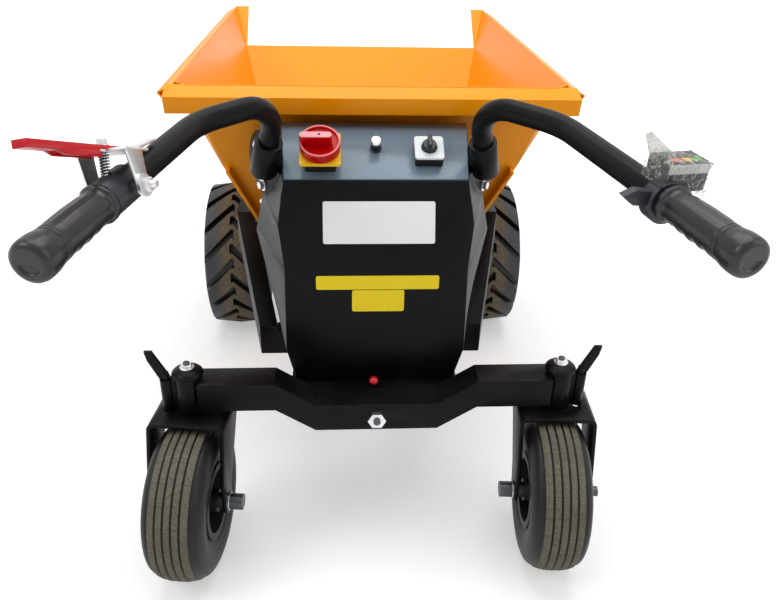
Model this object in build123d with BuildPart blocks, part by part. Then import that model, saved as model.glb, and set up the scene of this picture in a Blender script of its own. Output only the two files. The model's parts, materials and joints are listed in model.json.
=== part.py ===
"""Electric walk-behind site dumper: skip tub in front, console and handlebars behind.

Units are millimetres. +X is the operator's right, +Y is forward (the way the tub
tips), +Z is up. The ground is Z = 0, and X = 0 is the machine's middle plane.
Pieces that come in pairs are made on the right side and mirrored to the left.
"""

import os
from math import atan2, cos, hypot, pi, radians, sin, tan

from build123d import *

os.makedirs("parts", exist_ok=True)

# ---------------------------------------------------------------- driving sizes
SHEET = 3.0                 # folded sheet of console and tub
WALL = 4.0                  # box section wall
SEAT = 0.3                  # gap between pieces of different bodies that rest together
RUN = 0.05                  # radial clearance of a shaft in its bore

# drive wheels
DRIVE_Y = 561.5             # axle line
DRIVE_R = 220.0             # to the lug tips
DRIVE_TRACK = 765.0         # middle of tyre to middle of tyre
DRIVE_SIDES = 32            # flats round the tyre, one of them underneath
DRIVE_WALL = (
    # from the middle, radius: widest point of the side, up to the middle of the tread
    (85.0, 165.0),
    (83.0, 190.0),
    (76.0, 212.0),
    (0.0, DRIVE_R),
)
DRIVE_BEAD = (
    # widest point of the side, down to the rim's edge
    (85.0, 165.0),
    (80.0, 140.0),
    (59.0, 116.0),
)
DRIVE_LUGS = 16             # on each half of the tread
DRIVE_LUG_H = 20.0
DRIVE_LUG_LEAN = 20.6       # degrees round the tyre from a lug's nose to its shoulder end
DRIVE_GROOVE = (
    # from the middle, width between the lugs' tops
    (-6.0, 28.5),
    (97.0, 23.0),
)
DRIVE_LUG_DRAFT = 2.5       # a lug's side leans this far over its height
DRIVE_RIM_R = 106.0         # bead seat
DRIVE_RIM_W = 118.0
DRIVE_HUB_D = 92.0
DRIVE_SHAFT_D = 30.0

# casters
CASTER_TRACK = 725.0
KINGPIN_Y = -413.5
CASTER_TRAIL = 60.0
CASTER_TURN_LEFT = 7.0      # degrees each one stands turned at rest, clockwise from above
CASTER_TURN_RIGHT = 4.0
CASTER_R = 157.0
CASTER_SIDES = 24           # flats round the tyre, one of them underneath
CASTER_WALL = (
    # from the middle, radius: widest point of the side, up to the edge of the tread
    (59.0, 122.0),
    (54.0, 140.0),
    (44.0, 149.5),
)
CASTER_BEAD = (
    # widest point of the side, down to the rim's edge
    (59.0, 122.0),
    (58.0, 104.0),
    (50.0, 77.0),
)
CASTER_TREAD = 38.0         # half width of the ribbed tread
CASTER_CROWN = 6.0          # the tread's edge is this far below its middle
CASTER_RIBS = 5
RIB_GROOVE_W = 3.0
RIB_GROOVE_H = 3.5
CASTER_RIM_R = 67.0
CASTER_RIM_W = 100.0
CASTER_HUB_D = 44.0
CASTER_HUB_W = 110.0
CASTER_AXLE_D = 16.0
CASTER_AXLE_IN = 104.0      # end of the axle's nut from the wheel's middle
CASTER_AXLE_OUT = 98.0      # end of the axle's head
FORK_LEG_X = 72.0           # middle of a fork leg from the wheel's middle
FORK_T = 8.0                # the fork is one folded plate
FORK_BEND_R = 16.0          # outside of its two bends
FORK_LEG_W = 48.0
FORK_CROWN_Z = 325.0        # underside of the crown
FORK_CROWN_L = 108.0

# rear beam
BEAM_BOX = 60.0             # square section
BEAM_ARM_Z = 350.0          # underside of the arms
BEAM_MID_Z = 300.0          # underside of the dropped middle
BEAM_DROP_OUT = 196.5       # where the slope meets the arm
BEAM_DROP_IN = 120.0        # where the slope meets the middle
SWIVEL_D = 52.0             # kingpin tube
SWIVEL_GAP = 3.0            # thrust gap above the crown
SWIVEL_TOP_Z = 418.0
KINGPIN_D = 24.0
CAP_D = 60.0                # domed kingpin cap
CAP_H = 14.0
LOCK_OFFSET = 42.0          # swivel lock outboard of the kingpin
LOCK_TUBE_D = 24.0
LOCK_PIN_D = 13.0
LOCK_PIN_LIFT = 8.0         # pin tip above the crown while it is pulled
PIVOT_Z = 328.0
PIVOT_BOLT_D = 20.0

# chassis
RAIL_IN = 130.0             # inner face of the base rails
RAIL_W = 40.0
RAIL_Z = 290.0
RAIL_H = 60.0
RAIL_FRONT_Y = 600.0
CROSS_W = 40.0
PLATE_T = 8.0
MEMBER_W = 41.0
MEMBER_H = 72.5
MEMBER_NEAR_X = 232.5       # middle of the side member at its rear end
MEMBER_NEAR_Y = -143.5
MEMBER_NEAR_Z = 290.0
MEMBER_FAR_X = 300.0        # middle of the front rail
MEMBER_FAR_Y = 106.5
MEMBER_FAR_Z = 467.5
HINGE_Y = 606.5
HINGE_Z = 505.0
HINGE_PIN_D = 20.0
HINGE_TUBE_D = 34.0
HINGE_TUBE_L = 540.0
REST_PAD_T = 12.0

# tub, inner faces
TUB_FLOOR_Z = 500.0
TUB_RIM_Z = 908.0
TUB_FLOOR_REAR_Y = 73.5
TUB_FLOOR_FRONT_Y = 442.5
TUB_FLOOR_HALF_W = 245.0
TUB_RIM_HALF_W = 385.0
TUB_REAR_SLOPE = 30.0       # from the vertical
TUB_FRONT_SLOPE = 48.0
TUB_SPOUT_Z = 810.0         # top of the front wall
FACET_RIM = 27.0            # rear corner facet at the rim
FACET_FOOT_Z = 725.0        # where the facet runs out
SIDE_RIM = (31.0, 16.0, 22.0, 27.0)     # flange out and down, then its lip in and down
REAR_RIM = (44.0, 14.0, 8.0, 33.0)
REAR_RIM_PAST = 12.0        # rear rim runs this far past the side walls

# tub actuator
ACT_BASE = (-20.0, 268.0)   # y, z of the pin on the chassis
ACT_EYE = (356.0, 474.0)    # y, z of the pin under the tub
ACT_BARREL_D = 52.0
ACT_ROD_D = 24.0
ACT_EYE_D = 30.0
ACT_PIN_D = 12.0
ACT_EAR_T = 8.0
ACT_GAP = 5.0               # eye to clevis ear

# console sheet-metal housing: one row for each fold line, from the top down
CONSOLE = (
    # z,   rear y,  rear half, flare y, flare half, front y
    (831.0, -203.5, 179.0, -165.0, 185.0, -140.0),
    (769.0, -303.5, 171.5, -185.0, 190.0, -104.0),
    (690.0, -330.0, 184.0, -173.5, 226.0, -58.0),
    (614.0, -359.5, 173.0, -173.5, 242.0, -14.0),
    (437.0, -366.0, 176.0, -200.0, 206.0, 20.0),
    (RAIL_Z + RAIL_H, -343.5, 160.0, -200.0, 190.0, 20.0),
)
BATTERY = (300.0, 260.0, 200.0)     # x, y, z size of the battery pack
BATTERY_AHEAD = 30.0        # of the middle between the cross members
MOTOR_D = 130.0
MOTOR_L = 190.0
AXLE_TUBE_D = 70.0

# handles
TUBE_D = 38.0
SOCKET_D = 52.0
SOCKET_L = 72.0
ROSETTE_AT = (215.0, -204.0, 766.0)     # middle of the rosette's outer face
ROSETTE_D = 130.0
ROSETTE_T = 6.0
ROSETTE_TURN = 32.0         # degrees the rosette faces out of the straight-back view
GRIP_D = 51.0
GRIP_L = 157.0
GRIP_END_D = 55.0
HANDLE_PATH = (
    # half x, y, z: foot, top bend, second bend, end
    (210.8, -255.6, 774.1),
    (175.8, -318.8, 918.3),
    (289.9, -452.5, 914.7),
    (402.5, -888.0, 880.1),
)
HANDLE_BENDS = (89.0, 173.0)

# brake lever, on the left handle
LEVER_ROLL = 13.0           # degrees the lever leans outward on its tube
LEVER_PIVOT_BACK = 43.0     # pivot ahead of the grip's rim
LEVER_HALF_W = 38.0         # outside of the legs
LEVER_T = 4.0
LEVER_ARM_W = 18.0
LEVER_LEG_W = 30.0
LEVER_LINE = (
    # along the handle and above it, from the pivot: cable arm, bend, tip
    (-110.0, 27.0),
    (-40.0, 35.0),
    (131.0, 112.0),
)
LEVER_RED_START = -28.0     # along, where the red dip begins
LEVER_CHEEK_END = 80.0      # along, where the folded edges of the red part run out
LEVER_CHEEK_H = 11.0
LEVER_PIVOT_D = 20.0

# throttle, on the right handle
THROTTLE_ROLL = 2.0         # degrees it leans outward on its tube
CLAMP_D = 60.0
CLAMP_W = 24.0
CLAMP_BACK = 28.0           # far face of the clamp ahead of the grip's rim
BOX_SIZE = (66.0, 40.0, 44.0)       # across, up, along
BOX_AT = (25.0, 27.0)               # its middle from the tube's axis, across and up
BOX_PAST = 14.0             # its near face behind the clamp's far face


def export(node, name):
    """Label a finished piece and write it as its own STEP file."""
    node.part.label = name
    export_step(node.part, f"parts/{name}.step")


def export_pair(right, name):
    """Write the right-hand piece and its mirror image."""
    with BuildPart() as left:
        mirror(right.part, about=Plane.YZ)
    export(left, f"{name}_left")
    export(right, f"{name}_right")


def export_casters(right, name):
    """Write both casters' piece, the left one mirrored, each turned on its kingpin as it stands."""
    with BuildPart() as left:
        mirror(right.part, about=Plane.YZ)
    for piece, side, kingpin_x, turn in (
        (left, "left", -CASTER_TRACK / 2, CASTER_TURN_LEFT),
        (right, "right", CASTER_TRACK / 2, CASTER_TURN_RIGHT),
    ):
        with BuildPart() as turned:
            add(piece.part.rotate(Axis((kingpin_x, KINGPIN_Y, 0), (0, 0, 1)), -turn))
        export(turned, f"{name}_{side}")


def folded_sheet(folds, thickness):
    """Outline of a sheet folded at these points, its thickness laid to the left of the run."""
    points = [Vector(*fold) for fold in folds]
    runs = [(b - a).normalized() for a, b in zip(points, points[1:])]
    lefts = [Vector(-run.Y, run.X) for run in runs]
    back = []
    for before, after, point in zip(lefts[:1] + lefts, lefts + lefts[-1:], points):
        mitre = (before + after).normalized()
        back.append(point + mitre * (thickness / mitre.dot(before)))
    return [(p.X, p.Y) for p in points + back[::-1]]


def side_plane(x):
    """Plane across the machine at this x: local x is +Y and local y is +Z."""
    return Plane.YZ.offset(x)


def back_plane(y):
    """Plane facing the operator at this y: local x is +X and local y is +Z."""
    return Plane.XZ.offset(-y)


# ---------------------------------------------------------------- chassis
rail_x = RAIL_IN + RAIL_W / 2
rail_rear_y = KINGPIN_Y + BEAM_BOX / 2 + PLATE_T
member_end_y = HINGE_Y + HINGE_PIN_D
rest_y = MEMBER_FAR_Y
rest_z = TUB_FLOOR_Z - SHEET - SEAT - REST_PAD_T
member_in_x = MEMBER_FAR_X - MEMBER_W / 2

with BuildPart() as chassis:
    # base rails and front rails: straight box sections along the machine
    for middle_x, middle_z, width, height, start_y, end_y in (
        (rail_x, RAIL_Z + RAIL_H / 2, RAIL_W, RAIL_H, rail_rear_y, RAIL_FRONT_Y),
        (MEMBER_FAR_X, MEMBER_FAR_Z + MEMBER_H / 2, MEMBER_W, MEMBER_H, MEMBER_FAR_Y, member_end_y),
    ):
        for side in (-1, 1):
            with BuildSketch(back_plane(start_y)):
                with Locations((side * middle_x, middle_z)):
                    Rectangle(width, height)
                    Rectangle(width - 2 * WALL, height - 2 * WALL, mode=Mode.SUBTRACT)
            extrude(amount=-(end_y - start_y))
    # inclined, splayed side members, closed at the rear end
    for inset, near_y, mode in ((0, MEMBER_NEAR_Y, Mode.ADD), (WALL, MEMBER_NEAR_Y + WALL, Mode.SUBTRACT)):
        for side in (-1, 1):
            for y, x, z in ((near_y, MEMBER_NEAR_X, MEMBER_NEAR_Z), (MEMBER_FAR_Y, MEMBER_FAR_X, MEMBER_FAR_Z)):
                with BuildSketch(back_plane(y)):
                    with Locations((side * x, z + MEMBER_H / 2)):
                        Rectangle(MEMBER_W - 2 * inset, MEMBER_H - 2 * inset)
            loft(ruled=True, mode=mode)
    # cross members between the base rails, and outriggers to the side members
    for cross_y, half_length in (
        (rail_rear_y + CROSS_W / 2, RAIL_IN),
        (MEMBER_NEAR_Y + CROSS_W / 2, MEMBER_NEAR_X - MEMBER_W / 2 + WALL),
        (RAIL_FRONT_Y - CROSS_W / 2, RAIL_IN),
    ):
        with Locations((0, cross_y, RAIL_Z + RAIL_H / 2)):
            Box(2 * half_length, CROSS_W, RAIL_H)
    # rear plate that the beam's pivot bolts to
    with Locations((0, rail_rear_y - PLATE_T / 2, PIVOT_Z)):
        Box(2 * RAIL_IN, PLATE_T, RAIL_H)
    # cross tube under the tub, between the front rails
    with Locations((0, rest_y, rest_z - CROSS_W / 2)):
        Box(2 * member_in_x, CROSS_W, CROSS_W)
    # uprights from the base rails to the front rails, ahead of and behind the axle
    for upright_y in (rest_y, DRIVE_Y - 20):
        for side in (-1, 1):
            with BuildSketch(back_plane(upright_y - CROSS_W / 2)):
                with BuildLine():
                    Polyline(
                        (side * RAIL_IN, RAIL_Z + RAIL_H),
                        (side * (RAIL_IN + RAIL_W), RAIL_Z + RAIL_H),
                        (side * member_in_x, MEMBER_FAR_Z + WALL),
                        (side * member_in_x, MEMBER_FAR_Z + CROSS_W),
                        (side * (member_in_x - WALL), MEMBER_FAR_Z + CROSS_W),
                        close=True,
                    )
                make_face()
            extrude(amount=-CROSS_W)
    # bores for the tub's hinge pin and the beam's pivot bolt
    with BuildSketch(side_plane(-MEMBER_FAR_X - MEMBER_W)):
        with Locations((HINGE_Y, HINGE_Z)):
            Circle(HINGE_PIN_D / 2)
    extrude(amount=2 * (MEMBER_FAR_X + MEMBER_W), mode=Mode.SUBTRACT)
    with BuildSketch(back_plane(rail_rear_y - PLATE_T)):
        with Locations((0, PIVOT_Z)):
            Circle(PIVOT_BOLT_D / 2)
    extrude(amount=-(PLATE_T + CROSS_W), mode=Mode.SUBTRACT)
export(chassis, "chassis_frame")

with BuildPart() as rest_pads:
    for side in (-1, 1):
        with Locations((side * TUB_FLOOR_HALF_W * 0.7, rest_y, rest_z + REST_PAD_T / 2)):
            Cylinder(CROSS_W * 0.4, REST_PAD_T)
export(rest_pads, "tub_rest_pads")

with BuildPart() as hinge_pin:
    with BuildSketch(side_plane(-MEMBER_FAR_X - MEMBER_W / 2)):
        with Locations((HINGE_Y, HINGE_Z)):
            Circle(HINGE_PIN_D / 2)
    extrude(amount=2 * MEMBER_FAR_X + MEMBER_W)
export(hinge_pin, "tub_hinge_pin")

# ---------------------------------------------------------------- console
def console_block(inset):
    """The console's space, its walls moved inward by inset and its underside left where it is."""
    with BuildPart() as block:
        for row, (z, rear_y, rear_half, flare_y, flare_half, front_y) in enumerate(CONSOLE):
            with BuildSketch(Plane.XY.offset(z - (inset if row == 0 else 0))):
                with BuildLine():
                    Polyline(
                        (rear_half - inset, rear_y + inset),
                        (flare_half - inset, flare_y + inset),
                        (flare_half - inset, front_y - inset),
                        (-flare_half + inset, front_y - inset),
                        (-flare_half + inset, flare_y + inset),
                        (-rear_half + inset, rear_y + inset),
                        close=True,
                    )
                make_face()
        loft(ruled=True)
    return block.part


with BuildPart() as console:
    add(console_block(0))
    add(console_block(SHEET), mode=Mode.SUBTRACT)
export(console, "console_shell")

battery_y = (rail_rear_y + MEMBER_NEAR_Y) / 2 + CROSS_W + BATTERY_AHEAD
with BuildPart() as battery:
    with Locations((0, battery_y, RAIL_Z + RAIL_H + BATTERY[2] / 2)):
        Box(*BATTERY)
    fillet(battery.edges().filter_by(Axis.Z), 8)
export(battery, "battery_block")

# ---------------------------------------------------------------- drive axle
axle_z = DRIVE_R
wheel_x = DRIVE_TRACK / 2
hub_in_x = wheel_x - DRIVE_WALL[0][0] - 18
axle_bottom_gap = RAIL_Z - axle_z
axle_line = Axis((0, DRIVE_Y, axle_z), (1, 0, 0))

with BuildPart() as drive_axle:
    with BuildSketch(Plane((0, DRIVE_Y, axle_z), x_dir=(1, 0, 0), z_dir=(0, -1, 0))):
        with BuildLine():
            Polyline(
                (0, 0),
                (wheel_x + DRIVE_RIM_W / 2 - 20, 0),
                (wheel_x + DRIVE_RIM_W / 2 - 20, DRIVE_SHAFT_D / 2),
                (hub_in_x - 1, DRIVE_SHAFT_D / 2),
                (hub_in_x - 1, AXLE_TUBE_D / 2 + 12),
                (hub_in_x - 14, AXLE_TUBE_D / 2 + 12),
                (hub_in_x - 14, AXLE_TUBE_D / 2),
                (95, AXLE_TUBE_D / 2),
                (60, MOTOR_D / 2),
                (0, MOTOR_D / 2),
                close=True,
            )
        make_face()
        mirror(about=Plane.YZ)
    revolve(axis=axle_line)
    # saddles between the axle tube and the base rails
    for side in (-1, 1):
        with Locations((side * rail_x, DRIVE_Y, RAIL_Z - axle_bottom_gap / 2)):
            Box(RAIL_W, 50, axle_bottom_gap)
export(drive_axle, "drive_axle")

with BuildPart() as drive_motor:
    with BuildSketch(back_plane(DRIVE_Y - MOTOR_D / 2)):
        with Locations((0, axle_z)):
            Circle(MOTOR_D * 0.45)
    extrude(amount=MOTOR_L)
    chamfer(drive_motor.edges().group_by(Axis.Y)[0], 8)
export(drive_motor, "drive_motor")


def wheel_plane(x, y, z):
    """Plane through a wheel's middle: local x runs along the axle, local y is its radius."""
    return Plane((x, y, z), x_dir=(1, 0, 0), z_dir=(0, -1, 0))


def both_halves(rows):
    """A profile given from the side to the middle, carried on to the other side."""
    return [(-across, radius) for across, radius in rows] + [row for row in rows[::-1] if row[0]]


def faceted_tyre(x, y, z, sides, outside, bead, bore_r):
    """Solid tyre made of flats, from rows of the distance from its middle and the radius to a flat."""
    rim_x = bead[-1][0]
    with BuildPart() as piece:
        for rows, mode in (
            (both_halves(outside), Mode.ADD),
            (bead, Mode.SUBTRACT),
            ([(-across, radius) for across, radius in bead], Mode.SUBTRACT),
            (((-rim_x, bore_r), (rim_x, bore_r)), Mode.SUBTRACT),
        ):
            for across, radius in rows:
                with BuildSketch(side_plane(x + across)):
                    with Locations((y, z)):
                        RegularPolygon(radius, sides, major_radius=False, rotation=180 / sides)
            loft(ruled=True, mode=mode)
    return piece


def groove_plane(side, turn, above):
    """Plane over a groove's floor on one half of the right drive tyre: local x runs out to the side."""
    crown_x, crown_r = DRIVE_WALL[-2]
    fall = atan2(DRIVE_R - crown_r, crown_x)
    outward = Vector(0, cos(turn), sin(turn))
    floor = Vector(wheel_x, DRIVE_Y, axle_z) + outward * (DRIVE_R - DRIVE_LUG_H)
    level = Vector(side, 0, 0) * cos(fall) - outward * sin(fall)
    raised = outward * cos(fall) + Vector(side, 0, 0) * sin(fall)
    return Plane(origin=floor + raised * above, x_dir=level, z_dir=raised)


lean = radians(DRIVE_LUG_LEAN)
lug_pitch = 2 * pi / DRIVE_LUGS
plain_tyre = faceted_tyre(
    wheel_x, DRIVE_Y, axle_z, DRIVE_SIDES, DRIVE_WALL, DRIVE_BEAD, DRIVE_RIM_R + RUN
)
with BuildPart() as drive_tyre:
    add(plain_tyre.part)
    # slanted grooves leave the lugs; the halves are half a pitch apart, each groove clear of the lowest point
    for side, phase in ((1, 0.25), (-1, 0.75)):
        for index in range(DRIVE_LUGS):
            turn = lug_pitch * (index + phase) + lean / 2 - pi / 2
            for above, narrower in ((0.0, DRIVE_LUG_DRAFT), (2 * DRIVE_LUG_H, -DRIVE_LUG_DRAFT)):
                with BuildSketch(groove_plane(side, turn, above)):
                    with BuildLine():
                        corners = []
                        for (across, width), edge in zip(
                            DRIVE_GROOVE + DRIVE_GROOVE[::-1], (-1, -1, 1, 1)
                        ):
                            middle = -side * DRIVE_R * lean * (across / DRIVE_WALL[-2][0] - 0.5)
                            corners.append((across, middle + edge * (width / 2 - narrower)))
                        Polyline(*corners, close=True)
                    make_face()
            loft(ruled=True, mode=Mode.SUBTRACT)
export_pair(drive_tyre, "drive_tyre")


def steel_rim(x, y, z, seat_r, width, hub_d, hub_in, hub_out, bore_d, disc_x):
    """Rim barrel with two flanges, a disc and a hub tube. Hub ends and disc are measured from x."""
    half = width / 2
    with BuildPart() as piece:
        with BuildSketch(wheel_plane(x, y, z)):
            with BuildLine():
                Polyline(
                    (-half - SHEET, seat_r - SHEET),
                    (disc_x - SHEET, seat_r - SHEET),
                    (disc_x - SHEET, hub_d / 2),
                    (hub_in, hub_d / 2),
                    (hub_in, bore_d / 2 + RUN),
                    (hub_out, bore_d / 2 + RUN),
                    (hub_out, hub_d / 2),
                    (disc_x, hub_d / 2),
                    (disc_x, seat_r - SHEET),
                    (half + SHEET, seat_r - SHEET),
                    (half + SHEET, seat_r + 10),
                    (half, seat_r + 10),
                    (half, seat_r),
                    (-half, seat_r),
                    (-half, seat_r + 10),
                    (-half - SHEET, seat_r + 10),
                    close=True,
                )
            make_face()
        revolve(axis=Axis((x, y, z), (1, 0, 0)))
    return piece


export_pair(
    steel_rim(wheel_x, DRIVE_Y, axle_z, DRIVE_RIM_R, DRIVE_RIM_W, DRIVE_HUB_D,
              hub_in_x - wheel_x, 12.0, DRIVE_SHAFT_D, 6.0),
    "drive_rim",
)

# ---------------------------------------------------------------- rear beam
swivel_x = CASTER_TRACK / 2
crown_top_z = FORK_CROWN_Z + FORK_T
beam_front_y = KINGPIN_Y + BEAM_BOX / 2
beam_end_x = swivel_x - SWIVEL_D / 2 + 6


def beam_outline(inset):
    """Corner points of the cranked beam, seen from behind."""
    right = [
        (BEAM_DROP_IN, BEAM_MID_Z + inset),
        (BEAM_DROP_OUT, BEAM_ARM_Z + inset),
        (beam_end_x - inset, BEAM_ARM_Z + inset),
        (beam_end_x - inset, BEAM_ARM_Z + BEAM_BOX - inset),
        (BEAM_DROP_OUT, BEAM_ARM_Z + BEAM_BOX - inset),
        (BEAM_DROP_IN, BEAM_MID_Z + BEAM_BOX - inset),
    ]
    return right + [(-x, z) for x, z in reversed(right)]


with BuildPart() as rear_beam:
    for inset, mode in ((0, Mode.ADD), (WALL, Mode.SUBTRACT)):
        with BuildSketch(back_plane(beam_front_y - inset)):
            with BuildLine():
                Polyline(*beam_outline(inset), close=True)
            make_face()
        extrude(amount=BEAM_BOX - 2 * inset, mode=mode)
    # kingpin tubes and swivel lock tubes at the ends
    tube_z = crown_top_z + SWIVEL_GAP
    for side in (-1, 1):
        with BuildSketch(Plane.XY.offset(tube_z)):
            with Locations((side * swivel_x, KINGPIN_Y)):
                Circle(SWIVEL_D / 2)
            with Locations((side * (swivel_x + LOCK_OFFSET), KINGPIN_Y)):
                Circle(LOCK_TUBE_D / 2)
            with Locations((side * (swivel_x + LOCK_OFFSET / 2), KINGPIN_Y)):
                Rectangle(LOCK_OFFSET, LOCK_TUBE_D * 0.5)
        extrude(amount=SWIVEL_TOP_Z - tube_z - 10)
        with BuildSketch(Plane.XY.offset(tube_z)):
            with Locations((side * swivel_x, KINGPIN_Y)):
                Circle(SWIVEL_D / 2)
        extrude(amount=SWIVEL_TOP_Z - tube_z)
    for x, radius in ((swivel_x, KINGPIN_D / 2 + RUN), (swivel_x + LOCK_OFFSET, LOCK_PIN_D / 2)):
        for side in (-1, 1):
            with BuildSketch(Plane.XY.offset(tube_z)):
                with Locations((side * x, KINGPIN_Y)):
                    Circle(radius)
            extrude(amount=SWIVEL_TOP_Z - tube_z, mode=Mode.SUBTRACT)
    with BuildSketch(back_plane(beam_front_y)):
        with Locations((0, PIVOT_Z)):
            Circle(PIVOT_BOLT_D / 2)
    extrude(amount=BEAM_BOX, mode=Mode.SUBTRACT)
export(rear_beam, "rear_beam")

with BuildPart() as pivot_bolt:
    with BuildSketch(back_plane(rail_rear_y + CROSS_W - 4)):
        with Locations((0, PIVOT_Z)):
            Circle(PIVOT_BOLT_D / 2)
    extrude(amount=rail_rear_y + CROSS_W - 4 - (beam_front_y - BEAM_BOX))
    with BuildSketch(back_plane(beam_front_y - BEAM_BOX)):
        with Locations((0, PIVOT_Z)):
            RegularPolygon(PIVOT_BOLT_D * 0.9, 6)
    extrude(amount=12)
export(pivot_bolt, "beam_pivot_bolt")

# swivel lock pin with its flat lever plate, pulled clear of the fork crown
lever_top_z = SWIVEL_TOP_Z + 52
with BuildPart() as lock_pin:
    with BuildSketch(Plane.XY.offset(crown_top_z + LOCK_PIN_LIFT)):
        with Locations((swivel_x + LOCK_OFFSET, KINGPIN_Y)):
            Circle(LOCK_PIN_D / 2)
    extrude(amount=SWIVEL_TOP_Z - crown_top_z - LOCK_PIN_LIFT + 4)
    with BuildSketch(back_plane(KINGPIN_Y + 3)):
        with BuildLine():
            Polyline(
                (swivel_x + LOCK_OFFSET - 11, SWIVEL_TOP_Z - 10),
                (swivel_x + LOCK_OFFSET + 11, SWIVEL_TOP_Z - 10),
                (swivel_x + LOCK_OFFSET + 30, lever_top_z - 20),
                (swivel_x + LOCK_OFFSET + 34, lever_top_z),
                (swivel_x + LOCK_OFFSET + 20, lever_top_z),
                close=True,
            )
        make_face()
    extrude(amount=6)
export_pair(lock_pin, "swivel_lock_pin")

# ---------------------------------------------------------------- caster forks
caster_y = KINGPIN_Y - CASTER_TRAIL
caster_z = CASTER_R
leg_out = FORK_LEG_X + FORK_T / 2
leg_in = FORK_LEG_X - FORK_T / 2
fork_rear_y = KINGPIN_Y - FORK_CROWN_L / 2
fork_front_y = KINGPIN_Y + FORK_CROWN_L / 2
leg_rear_y = caster_y - FORK_LEG_W / 2
leg_front_y = caster_y + FORK_LEG_W / 2
bend_foot_z = crown_top_z - FORK_BEND_R

with BuildPart() as caster_fork:
    # plate folded over the wheel, seen from behind
    with BuildSketch(back_plane(fork_front_y)):
        for half_w, top_z, bend_r, mode in (
            (leg_out, crown_top_z, FORK_BEND_R, Mode.ADD),
            (leg_in, FORK_CROWN_Z, FORK_BEND_R - FORK_T, Mode.SUBTRACT),
        ):
            with BuildLine():
                FilletPolyline(
                    (swivel_x - half_w, top_z - 60),
                    (swivel_x - half_w, top_z),
                    (swivel_x + half_w, top_z),
                    (swivel_x + half_w, top_z - 60),
                    radius=bend_r,
                )
                Polyline(
                    (swivel_x + half_w, top_z - 60),
                    (swivel_x + half_w, caster_z - FORK_LEG_W),
                    (swivel_x - half_w, caster_z - FORK_LEG_W),
                    (swivel_x - half_w, top_z - 60),
                )
            make_face(mode=mode)
    extrude(amount=fork_front_y - leg_rear_y)
    # cut to its outline from the side: legs tapering back to the axle
    with BuildSketch(side_plane(swivel_x - leg_out)):
        with BuildLine():
            Polyline(
                (fork_rear_y, crown_top_z),
                (fork_front_y, crown_top_z),
                (fork_front_y, bend_foot_z),
                (leg_front_y, caster_z + 24),
                (leg_front_y, caster_z),
                (leg_rear_y, caster_z),
                (leg_rear_y, caster_z + 60),
                (fork_rear_y, bend_foot_z),
                close=True,
            )
        make_face()
        with Locations((caster_y, caster_z)):
            Circle(FORK_LEG_W / 2)
            Circle(CASTER_AXLE_D / 2, mode=Mode.SUBTRACT)
    extrude(amount=2 * leg_out, mode=Mode.INTERSECT)
    # hole for the swivel lock, and the kingpin, running in the beam's tube
    with BuildSketch(Plane.XY.offset(FORK_CROWN_Z)):
        with Locations((swivel_x + LOCK_OFFSET, KINGPIN_Y)):
            Circle(LOCK_PIN_D / 2 + 1)
    extrude(amount=FORK_T, mode=Mode.SUBTRACT)
    with BuildSketch(Plane.XY.offset(crown_top_z)):
        with Locations((swivel_x, KINGPIN_Y)):
            Circle(KINGPIN_D / 2)
    extrude(amount=SWIVEL_TOP_Z + SEAT - crown_top_z)
export_casters(caster_fork, "caster_fork")

cap_z = SWIVEL_TOP_Z + SEAT
with BuildPart() as kingpin_cap:
    with BuildSketch(wheel_plane(swivel_x, KINGPIN_Y, cap_z)):
        with BuildLine():
            Polyline(
                (0, 0),
                (CAP_D / 2, 0),
                (CAP_D / 2, 4),
                (CAP_D / 2 - 5, CAP_H - 4.5),
                (CAP_D / 2 - 14, CAP_H),
                (0, CAP_H),
                close=True,
            )
        make_face()
    revolve(axis=Axis((swivel_x, KINGPIN_Y, cap_z), (0, 0, 1)))
    with BuildSketch(Plane.XY.offset(cap_z + CAP_H)):
        with Locations((swivel_x, KINGPIN_Y)):
            RegularPolygon(13, 6)
    extrude(amount=9)
export_casters(kingpin_cap, "kingpin_cap")

hub_end = CASTER_HUB_W / 2 + SEAT
with BuildPart() as caster_axle:
    with BuildSketch(wheel_plane(swivel_x, caster_y, caster_z)):
        with BuildLine():
            Polyline(
                (-CASTER_AXLE_IN, 0),
                (-CASTER_AXLE_IN, CASTER_AXLE_D),
                (-leg_out, CASTER_AXLE_D),
                (-leg_out, CASTER_AXLE_D / 2),
                (-leg_in, CASTER_AXLE_D / 2),
                (-leg_in, CASTER_AXLE_D),
                (-hub_end, CASTER_AXLE_D),
                (-hub_end, CASTER_AXLE_D / 2),
                (hub_end, CASTER_AXLE_D / 2),
                (hub_end, CASTER_AXLE_D),
                (leg_in, CASTER_AXLE_D),
                (leg_in, CASTER_AXLE_D / 2),
                (leg_out, CASTER_AXLE_D / 2),
                (leg_out, CASTER_AXLE_D * 0.65),
                (CASTER_AXLE_OUT, CASTER_AXLE_D * 0.65),
                (CASTER_AXLE_OUT, 0),
                close=True,
            )
        make_face()
    revolve(axis=Axis((swivel_x, caster_y, caster_z), (1, 0, 0)))
export_casters(caster_axle, "caster_axle")


rib_pitch = 2 * CASTER_TREAD / CASTER_RIBS


def crown_radius(across):
    """Radius of the caster's tread this far from its middle; the middle rib is level."""
    beyond = (across - rib_pitch / 2) / (CASTER_TREAD - rib_pitch / 2)
    return CASTER_R - CASTER_CROWN * beyond ** 2


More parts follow.
